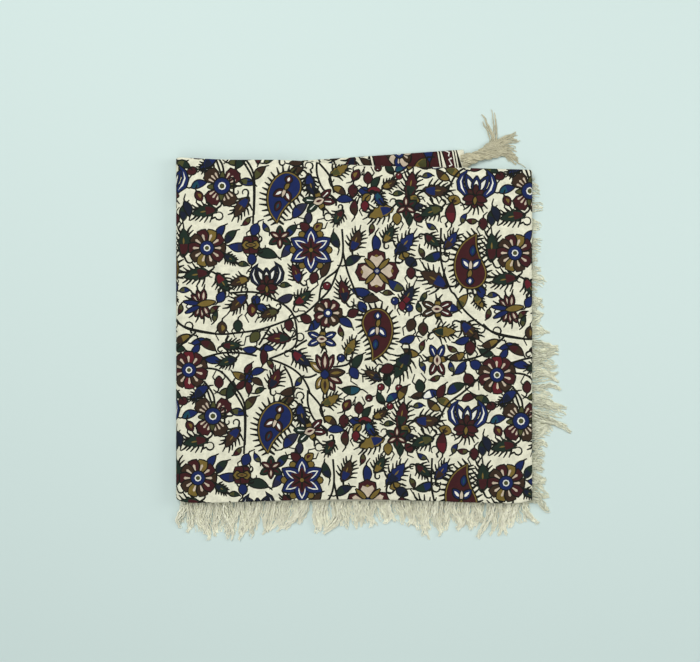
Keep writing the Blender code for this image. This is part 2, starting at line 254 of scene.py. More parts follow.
class PrintSheet:
    """Shapes of the print in the order that they are laid down, flat, in metres."""

    def __init__(self, fine):
        self.fine = fine
        self.shapes = []
        self.random = random.Random(PRINT_SEED)

    def either(self, fine, plain):
        """One value for the fine print and another for the plain one."""
        return fine if self.fine else plain

    def fill(self, dye, points):
        """Lay down one shape of one dye, its outline counterclockwise."""
        if signed_area(points) < 0:
            points = points[::-1]
        self.shapes.append((DYES.index(dye), points))

    def detail(self, dye, points):
        """A shape that the plain print goes without."""
        if self.fine:
            self.fill(dye, points)

    def outlined(self, dye, points, shift=DYE_SHIFT):
        """A dark outline, with its dye a little off it as on a hand print."""
        self.detail("black", grown(points, EDGE_LINE))
        offset = Vector((self.random.uniform(-shift, shift), self.random.uniform(-shift, shift)))
        self.fill(dye, [point + offset for point in points])

    def stroke(self, dye, points, width, end_width):
        """A line along the points, narrower towards its end."""
        left, right = [], []
        last = len(points) - 1
        for index, point in enumerate(points):
            way = points[min(index + 1, last)] - points[max(index - 1, 0)]
            side = Vector((-way.y, way.x)).normalized()
            half = (width + (end_width - width) * index / last) / 2
            left.append(point + side * half)
            right.append(point - side * half)
        self.fill(dye, left + right[::-1])

    def pen(self, points, width=LINE):
        """A tapering dark line, which the plain print goes without."""
        if self.fine:
            self.stroke("black", points, width, HAIR_END)


def grown(points, amount):
    """The outline moved outwards by an amount."""
    count = len(points)
    sign = 1 if signed_area(points) > 0 else -1
    result = []
    for index, point in enumerate(points):
        way = points[(index + 1) % count] - points[index - 1]
        side = Vector((way.y, -way.x))
        if side.length:
            side.normalize()
        result.append(point + side * (amount * sign))
    return result


def curve(points, steps):
    """A smooth line through the points, as a list with some steps between each two."""
    result = []
    last = len(points) - 1
    for index in range(last):
        before, start = points[max(index - 1, 0)], points[index]
        end, after = points[index + 1], points[min(index + 2, last)]
        for step in range(steps):
            share = step / steps
            square, cube = share**2, share**3
            blend = before * (2 * square - share - cube) + start * (2 - 5 * square + 3 * cube)
            blend = blend + end * (share + 4 * square - 3 * cube) + after * (cube - square)
            result.append(blend / 2)
    result.append(points[-1])
    return result


def ring(centre, radius, count):
    """Points round a circle."""
    angles = [math.tau * index / count for index in range(count)]
    return [centre + Vector((math.cos(angle), math.sin(angle))) * radius for angle in angles]


class Place:
    """A place on the flat cloth with a turn and a side, that motifs are drawn in by their millimetres."""

    def __init__(self, x, y, turn, flip=1):
        self.origin = Vector((x, y))
        self.turn = turn
        angle = math.radians(turn)
        self.ahead = Vector((math.cos(angle), math.sin(angle))) * MM
        self.side = Vector((-math.sin(angle), math.cos(angle))) * (MM * flip)

    def at(self, ahead, side=0.0):
        """A point by its distances ahead and to the side."""
        return self.origin + self.ahead * ahead + self.side * side

    def points(self, rows):
        """Points by their distances ahead and to the side."""
        return [self.at(ahead, side) for ahead, side in rows]

    def turned(self, degrees, ahead=0.0, side=0.0):
        """A place at a distance from this one, turned further."""
        return Place(*self.at(ahead, side), self.turn + degrees)


def sized(size, *rows):
    """Rows of distances that are given as shares of a size."""
    return [(ahead * size, side * size) for ahead, side in rows]


def moved(rows, ahead, side=0.0):
    """Rows of distances, moved ahead and to the side."""
    return [(row_ahead + ahead, row_side + side) for row_ahead, row_side in rows]


# Shape of every leaf and petal: how blunt its ends are, its width at the foot, how much less at the tip
BLUNTNESS = 0.75
FOOT_WIDTH = 1.15
TIP_LESS = 0.3


def oval(length, width, bend, steps, start=0.0, end=1.0, teeth=0.0):
    """A leaf's outline between two shares of its length, as rows of distances ahead and to the side."""
    rows = []
    for side in (1, -1):
        for step in range(steps + 1):
            share = start + (end - start) * (step if side == 1 else steps - step) / steps
            fullest = math.sin(math.pi * min(share, 1.0)) ** BLUNTNESS
            half = width / 2 * fullest * (FOOT_WIDTH - TIP_LESS * share)
            if teeth and 0 < step < steps:
                half *= 1 + teeth * (1 if step % 2 else -1)
            rows.append((length * (share - 0.5), side * half + bend * 4 * share * (1 - share)))
    return rows


def arc_rows(centre_ahead, centre_side, radius, start, sweep, steps=6):
    """Rows of distances along an arc, its angles in degrees."""
    rows = []
    for step in range(steps + 1):
        angle = math.radians(start + sweep * step / steps)
        rows.append((centre_ahead + radius * math.cos(angle), centre_side + radius * math.sin(angle)))
    return rows


HAIR_BOW = 0.08
HOOK_SWEEP = 230


def hair(sheet, place, foot, degrees, reach):
    """A heavy tapering hair from a foot, its way in degrees from straight ahead, a little bowed."""
    angle = math.radians(degrees)
    ahead, side = reach * math.cos(angle), reach * math.sin(angle)
    middle = (foot[0] + 0.5 * ahead - HAIR_BOW * side, foot[1] + 0.5 * side + HAIR_BOW * ahead)
    sheet.pen(place.points([foot, middle, (foot[0] + ahead, foot[1] + side)]), HAIR_FOOT)


def hook(sheet, place, reach, radius, sweep=HOOK_SWEEP):
    """A pen line that runs ahead and curls round at its end."""
    sheet.pen(place.points([(0, 0)] + arc_rows(reach, radius, radius, -90, sweep)))


def leaf(sheet, place, length, dye, second):
    """A slender leaf in two dyes, with a long curved tail and a drawn-out tip."""
    width = 0.54 * length
    bend = 0.10 * length
    sheet.pen(place.points(sized(length, (-0.4, 0), (-0.80, 0.04), (-1.15, 0.30))))
    sheet.pen(place.points(sized(length, (0.4, 0), (0.70, -0.02), (0.90, -0.16))))
    sheet.outlined(dye, place.points(oval(1.2 * length, width, bend, sheet.either(6, 3))))
    if second != dye:
        sheet.detail(second, place.points(oval(1.2 * length, 0.85 * width, bend, 4, 0.06, 0.5)))


def comb(sheet, place, length, dye, second):
    """A leaf with three long lines that trail from its foot."""
    for side, reach in ((0.16, 0.85), (-0.04, 0.95), (-0.24, 0.75)):
        foot = (-0.3 * length, side * length)
        middle = (foot[0] - 0.5 * reach * length, side * 1.5 * length)
        sheet.pen(place.points([foot, middle, (-reach * length, side * 1.2 * length)]))
    leaf(sheet, place, length, dye, second)


# Hairs on one side of a jagged leaf: how many, the degrees of the first, and how much less for each next
BRISTLES = 5
BRISTLE_LEAN = 66
BRISTLE_LESS = 9


def bristled(sheet, place, length, dye, second):
    """A jagged leaf with heavy hairs on both sides, its foot in another dye and a hook below it."""
    width = 0.44 * length
    bend = -0.05 * length
    for side in (1, -1):
        for step in range(BRISTLES):
            share = 0.18 + 0.17 * step
            foot = (length * (share - 0.5), side * 0.24 * width + bend)
            reach = length * (0.50 - 0.03 * step) + sheet.random.uniform(-0.06, 0.06) * length
            hair(sheet, place, foot, side * (BRISTLE_LEAN - BRISTLE_LESS * step), reach)
    sheet.pen(place.points([(0.4 * length, bend), (0.82 * length, 0)]))
    rows = oval(1.08 * length, width, bend, sheet.either(9, 4), teeth=sheet.either(0.18, 0.0))
    sheet.outlined(dye, place.points(rows))
    sheet.detail(second, place.points(oval(length, 0.8 * width, bend, 4, 0.06, 0.46)))
    vein = moved(oval(0.28 * length, 0.07 * length, 0, 3), 0.08 * length, 0.5 * bend)
    sheet.detail("ochre", place.points(vein))
    hook(sheet, place.turned(205, -0.42 * length), 0.3 * length, 0.14 * length)


def bud(sheet, place, length, dye, second):
    """A drop-shaped bud with a hooked stalk and two curved hairs."""
    width = 0.78 * length
    sheet.pen(place.points(sized(length, (-0.4, 0), (-0.85, 0.05), (-1.2, 0.45))))
    for side in (1, -1):
        foot = (0.0, side * 0.35 * width)
        tip = (1.15 * length, side * 0.36 * width)
        sheet.pen(place.points([foot, (0.5 * length, side * 0.80 * width), tip]), THIN_LINE)
    sheet.outlined(dye, place.points(oval(1.15 * length, width, 0, sheet.either(6, 3))))
    if second != dye:
        sheet.detail(second, place.points(oval(0.62 * length, 0.42 * width, 0.12 * length, 4)))


def berry(sheet, place, length, dye, second):
    """A round berry on a short stalk, with a gleam on it."""
    radius = length / 2
    sheet.pen(place.points([(0, 0), (-1.2 * length, 0)]))
    sheet.outlined(dye, ring(place.origin, radius * MM, sheet.either(9, 4)))
    sheet.detail("white", place.points(sized(length, (0.05, 0.3), (0.3, 0.15), (0.1, 0.12))))


def curl(sheet, place, radius, dye, second):
    """A tendril that curls round on itself."""
    sheet.pen(place.points(sized(radius, (-1.9, -0.7)) + arc_rows(0, 0, radius, 200, 300, 8)))


def petal(sheet, place, degrees, near, far, width, dye, fleck=None):
    """One pointed petal out from a place, with a light fleck where asked."""
    arm = place.turned(degrees)
    length = far - near
    middle = (near + far) / 2
    sheet.outlined(dye, arm.points(moved(oval(length, width, 0, sheet.either(5, 3)), middle)))
    if fleck:
        sheet.detail(fleck, arm.points(moved(oval(0.62 * length, 0.4 * width, 0, 3), middle)))


def petals(sheet, place, size, *rows):
    """Petals one after another: degrees, near, far and width as shares of the size, dye and fleck."""
    for degrees, near, far, width, *dyes in rows:
        petal(sheet, place, degrees, near * size, far * size, width * size, *dyes)


# Scalloped petals: how far round their outer edge runs, and how much a lobe stands out and a notch goes in
LOBED_SPREAD = 160
LOBE_OUT = 0.12
NOTCH_IN = -0.06


def lobed(sheet, place, degrees, near, far, half_width, dye, lobes):
    """One broad petal with a scalloped outer edge."""
    length = far - near
    shoulder = near + 0.45 * length
    rows = [(near, -0.3 * half_width), (shoulder, -0.92 * half_width)]
    steps = sheet.either(2 * lobes, 2)
    for step in range(steps + 1):
        angle = math.radians(-LOBED_SPREAD / 2 + LOBED_SPREAD * step / steps)
        bump = 1 + (LOBE_OUT if step % 2 else NOTCH_IN) * (lobes > 1)
        ahead = near + 0.58 * length + 0.42 * length * math.cos(angle) * bump
        rows.append((ahead, half_width * math.sin(angle) * bump))
    rows += [(shoulder, 0.92 * half_width), (near, 0.3 * half_width)]
    sheet.outlined(dye, place.turned(degrees).points(rows))


def streak(sheet, place, degrees, near, far, width, dye):
    """A light tapering streak of the cloth left undyed, wider outwards."""
    half = width / 2
    rows = [(near, -0.3 * half), (far - half, -half), (far, 0), (far - half, half), (near, 0.3 * half)]
    sheet.detail(dye, place.turned(degrees).points(rows))


def eye(sheet, place, radius, dye, dot):
    """A flower's round centre: dyed, with a light ring and a dot."""
    sheet.outlined(dye, ring(place.origin, radius * MM, sheet.either(12, 6)), 0.0)
    sheet.detail("white", ring(place.origin, 0.50 * radius * MM, 8))
    sheet.detail(dot, ring(place.origin, 0.34 * radius * MM, 7))


ROSETTE_PETALS = 10


def rosette(sheet, place, size, dye, second):
    """A rosette of round petals, each with a light streak, and a blue centre."""
    turns = [360 * index / ROSETTE_PETALS for index in range(ROSETTE_PETALS)]
    for index, degrees in enumerate(turns):
        colour = second if index in (2, 7) else dye if index % 2 else "brown"
        lobed(sheet, place, degrees, 0.3 * size, 1.04 * size, 0.31 * size, colour, 2)
    for degrees in turns:
        streak(sheet, place, degrees, 0.42 * size, 0.80 * size, 0.15 * size, "petal")
    eye(sheet, place, 0.38 * size, "blue", "olive")


def four_petals(sheet, place, size, dye, second):
    """A flower of four wide scalloped petals round a blue ring."""
    for degrees, colour in ((42, second), (135, dye), (232, second), (298, dye)):
        lobed(sheet, place, degrees, 0.30 * size, 1.05 * size, 0.38 * size, colour, 4)
        for turn in (-18, 0, 18):
            streak(sheet, place, degrees + turn, 0.46 * size, 0.76 * size, 0.11 * size, "petal")
    for degrees in (0, 88, 184, 266):
        petals(sheet, place, size, (degrees, 0.3, 0.72, 0.2, "olive"))
        hook(sheet, place.turned(degrees, 0.6 * size), 0.3 * size, 0.12 * size)
    eye(sheet, place, 0.40 * size, "blue", "olive")


def eight_petals(sheet, place, size, dye, second):
    """Four light hearts with dark scalloped edges, and four narrow leaves between them."""
    heart = sized(size, (0.16, 0.0), (0.60, -0.34), (0.78, -0.24), (0.68, 0.0), (0.78, 0.24), (0.60, 0.34))
    spot = [(0.76 * size + ahead, side) for ahead, side in oval(0.14 * size, 0.2 * size, 0, 3)]
    for degrees in (0, 92, 184, 268):
        lobed(sheet, place, degrees, 0.1 * size, 1.02 * size, 0.44 * size, "maroon", 3)
        sheet.detail(dye, place.turned(degrees).points(heart))
        sheet.detail("ochre", place.turned(degrees).points(spot))
    for degrees in (45, 135, 228, 312):
        petals(sheet, place, size, (degrees, 0.12, 0.86, 0.2, second))
    eye(sheet, place, 0.14 * size, "blue", "blue")


SMALL_PETALS = 7


def small_rosette(sheet, place, size, dye, second):
    """A small rosette with a dark centre."""
    for index in range(SMALL_PETALS):
        degrees = 360 * index / SMALL_PETALS
        lobed(sheet, place, degrees, 0.25 * size, size, 0.38 * size, dye if index % 3 else "brown", 2)
        streak(sheet, place, degrees, 0.36 * size, 0.82 * size, 0.22 * size, "petal")
    eye(sheet, place, 0.3 * size, second, "white")


STAR_POINTS = 6


def star_flower(sheet, place, size, dye, second):
    """A star of broad petals with light lines, a smaller star in it, and beads between its points."""
    for index in range(STAR_POINTS):
        bead = place.turned((index + 0.5) * 360 / STAR_POINTS).at(0.84 * size)
        sheet.outlined("ochre", ring(bead, 0.15 * size * MM, sheet.either(8, 4)))
    turns = [360 * index / STAR_POINTS for index in range(STAR_POINTS)]
    for degrees in turns:
        petals(sheet, place, size, (degrees, -0.1, 1.08, 0.66, dye))
    inner = ((0.1, 0.9, 0.34, "white"), (0.05, 0.82, 0.26, dye), (0.0, 0.62, 0.34, second))
    for near, far, width, colour in inner:
        rows = moved(oval((far - near) * size, width * size, 0, 4), (near + far) / 2 * size)
        for degrees in turns:
            sheet.detail(colour, place.turned(degrees).points(rows))
    for degrees in turns:
        sheet.pen(place.turned(degrees).points([(0.08 * size, 0), (0.5 * size, 0)]), THIN_LINE)
    sheet.detail("ochre", ring(place.origin, 0.1 * size * MM, 6))


# Half of a crown flower's cup and the light line in it, as shares of the flower's size
CRESCENT = ((-0.05, 0.18), (0.02, 0.52), (0.30, 0.88), (0.70, 0.96), (1.06, 0.80), (1.32, 0.46))
CRESCENT += ((0.98, 0.60), (0.72, 0.68), (0.45, 0.60), (0.20, 0.38))
GLEAM = ((0.12, 0.50), (0.38, 0.74), (0.72, 0.82), (1.04, 0.68), (0.72, 0.75), (0.42, 0.66))


def crown_flower(sheet, place, size, dye, second):
    """A blue cup of pointed petals with light lines, on a small dark cup with hairs below."""
    for degrees in range(118, 243, 20):
        hair(sheet, place.turned(degrees, -0.12 * size), (0.25 * size, 0.0), 0, 0.55 * size)
    for side, wide in ((1, 1.0), (-1, 1.06)):
        for lay, colour, half in ((sheet.outlined, dye, CRESCENT), (sheet.detail, "white", GLEAM)):
            rows = [(ahead * wide * size, side * across * wide * size) for ahead, across in half]
            lay(colour, place.points(rows))
    for degrees, far in ((27, 1.22), (-27, 1.28), (0, 1.05)):
        petals(sheet, place, size, (degrees, 0.12, far, 0.42, dye), (degrees, 0.30, 0.8 * far, 0.2, "white"))
    for degrees, far in ((48, 0.5), (0, 0.62), (-48, 0.52)):
        petals(sheet, place, size, (degrees, 0.1, far, 0.24, second, "brown"))
    for degrees, far in ((180, 0.56), (135, 0.60), (225, 0.60), (105, 0.62), (255, 0.62)):
        petals(sheet, place, size, (degrees, 0.0, far, 0.34, second))
    petals(sheet, place, size, (180, 0.0, 0.4, 0.16, "ochre"))


def lotus(sheet, place, size, dye, second):
    """Flame-shaped light and dark petals round a small blue centre."""
    petals(
        sheet,
        place,
        size,
        (150, 0.12, 0.85, 0.36, second, "petal"),
        (-150, 0.12, 0.95, 0.40, dye, "petal"),
        (-118, 0.12, 0.95, 0.34, dye, "petal"),
        (180, 0.12, 1.0, 0.40, second, "brown"),
        (-84, 0.12, 1.0, 0.38, "brown", "ochre"),
        (52, 0.12, 0.95, 0.34, second, "petal"),
        (24, 0.12, 1.05, 0.32, dye, "petal"),
        (-24, 0.12, 1.05, 0.32, dye, "petal"),
        (0, 0.12, 1.1, 0.36, dye, "petal"),
        (0, -0.22, 0.22, 0.38, "blue"),
    )


def tulip(sheet, place, size, dye, second):
    """A flower seen from its side: striped petals at both sides, a blue and light mouth, and a leaf below."""
    for side in (1, -1):
        for degrees in (34, 58, 82, 106):
            hair(sheet, place.turned(side * degrees), (0.7 * size, 0.0), 0, 0.55 * size)
        for degrees in (48, 76, 104):
            petals(sheet, place, size, (side * degrees, 0.1, 0.92, 0.36, dye, "petal"))
    petals(sheet, place, size, (0, 0.1, 1.05, 0.5, "white"))
    for degrees in (17, -17):
        petals(sheet, place, size, (degrees, 0.2, 1.25, 0.24, "blue"))
    petals(sheet, place, size, (180, -0.35, 0.8, 0.36, second, "ochre"))


def lily(sheet, place, size, dye, second):
    """Four arms of leaves and two small hairy leaves round a light heart."""
    for degrees, colour in ((24, dye), (-24, dye), (156, second), (204, second)):
        petals(sheet, place, size, (degrees, 0.15, 1.15, 0.46, colour))
        streak(sheet, place, degrees, 0.4 * size, 0.9 * size, 0.1 * size, "white")
    for degrees in (82, -82):
        petals(sheet, place, size, (degrees, 0.1, 0.75, 0.36, "ochre"))
        for turn in (-25, 25):
            hair(sheet, place.turned(degrees), (0.55 * size, 0.0), turn, 0.6 * size)
    petals(sheet, place, size, (0, -0.4, 0.4, 0.5, "petal", "maroon"))


def small_flower(sheet, place, size, dye, second):
    """Wide petals round a light heart, with hooked hairs."""
    for degrees in (38, 78, -38, -78, 128, -128):
        hook(sheet, place.turned(degrees, 0.5 * size), 0.6 * size, 0.3 * size, 150)
    for degrees in (50, 130, -130, -50):
        lobed(sheet, place, degrees, 0.0, size, 0.55 * size, dye, 1)
    for degrees in (0, 180):
        lobed(sheet, place, degrees, 0.0, 0.85 * size, 0.4 * size, second, 1)
    petals(sheet, place, size, (0, -0.5, 0.5, 0.34, "ochre", "maroon"))


def triangle_star(sheet, place, size, dye, second):
    """Three light crossed petals with dark leaves between."""
    for turn, far, width, colour, fleck in ((60, 1.2, 0.62, second, "maroon"), (0, 1.05, 0.5, dye, "petal")):
        for degrees in (0, 120, 240):
            petals(sheet, place, size, (degrees + turn, 0.0, far, width, colour, fleck))


# Outline of a paisley from its tip round to its tip: ahead of its foot, to the side, as shares of its length
PAISLEY = ((1.00, -0.06), (0.86, 0.14), (0.66, 0.27), (0.42, 0.32), (0.18, 0.27), (0.02, 0.13), (0.00, -0.05))
PAISLEY += ((0.08, -0.20), (0.24, -0.27), (0.40, -0.24), (0.58, -0.14), (0.80, -0.07), (1.00, -0.06))
PAISLEY_MIDDLE = 0.34
# Its rim and the dark line within it, and the hairs that stand round it
RIM_WIDTH = 1.5 * MM
RIM_LINE = 0.35 * MM
HAIR_ROOM = 0.4 * MM
HAIR_STEP = 4.7 * MM
HAIR_LENGTH = 6.6 * MM
HAIR_LEAN = 0.2


def rim_hairs(sheet, edge, heart):
    """Heavy hairs along a closed edge, away from its heart."""
    rest = 0.0
    for index, point in enumerate(edge):
        before = edge[index - 1]
        span = (point - before).length
        while rest < span:
            foot = before.lerp(point, rest / span)
            way = (point - before).normalized()
            out = Vector((way.y, -way.x))
            if (foot - heart).dot(out) < 0:
                out = -out
            reach = HAIR_LENGTH * sheet.random.uniform(0.85, 1.15)
            sheet.pen([foot, foot + out * reach + way * (HAIR_LEAN * reach)], HAIR_FOOT)
            rest += HAIR_STEP
        rest -= span


def paisley(sheet, place, length, dye, second):
    """A paisley: heavy hairs round a light rim, and a dyed body with a small flower in it."""
    rows = [(length * (ahead - 0.5), length * side) for ahead, side in PAISLEY]
    outline = curve(place.points(rows), 3)[:-1]
    inner = grown(outline, -RIM_WIDTH)
    if sheet.fine:
        rim_hairs(sheet, grown(outline, HAIR_ROOM), place.at(length * (PAISLEY_MIDDLE - 0.5)))
    sheet.outlined("ochre", outline, 0.0)
    sheet.detail("black", grown(inner, RIM_LINE))
    sheet.fill(dye, inner)
    petals(
        sheet,
        place.turned(0, -0.16 * length, 0.02 * length),
        length,
        (42, 0.02, 0.25, 0.13, second, "white"),
        (-42, 0.02, 0.25, 0.13, second, "white"),
        (0, -0.02, 0.16, 0.06, "petal"),
        (170, 0.0, 0.16, 0.07, "ochre"),
        (180, 0.14, 0.28, 0.13, second, "white"),
        (-4, 0.25, 0.44, 0.10, second, "teal"),
    )


# Stems of one repeat, as chart steps: points from foot to tip
STEMS = [
    [(216, 159), (222, 177)],
    [(242, 160), (252, 177), (254, 194), (253, 224)],
    [(317, 160), (317, 174), (323, 189), (335, 199), (336, 206)],
    [(319, 163), (329, 175), (332, 185), (334, 193)],
    [(464, 168), (455, 176), (446, 194)],
    [(342, 229), (343, 252), (338, 269), (323, 282), (319, 301)],
    [(343, 252), (347, 270), (353, 286), (358, 298)],
    [(338, 269), (330, 289), (317, 303)],
    [(441, 228), (441, 261), (450, 289), (455, 295), (464, 310), (480, 324), (496, 333), (525, 339)],
    [(231, 293), (252, 292), (268, 296), (291, 311), (297, 333), (293, 348), (269, 359)],
    [(175, 319), (188, 329), (217, 334), (236, 333), (262, 329), (293, 318), (307, 312), (324, 296)],
    [(504, 337), (495, 345), (480, 356), (459, 361)],
    [(480, 377), (469, 387), (462, 393), (455, 398)],
    [(270, 327), (259, 345)],
    [(203, 358), (222, 353), (242, 353), (257, 356)],
    [(205, 368), (220, 371), (234, 386), (245, 406), (245, 445)],
    [(204, 381), (213, 394), (215, 406)],
    [(284, 366), (291, 379), (294, 397)],
    [(269, 359), (281, 363), (293, 369), (302, 377), (308, 387), (310, 394)],
    [(302, 377), (310, 377), (317, 374)],
    [(295, 348), (300, 344), (307, 340)],
    [(353, 352), (351, 360), (346, 365), (333, 367)],
]

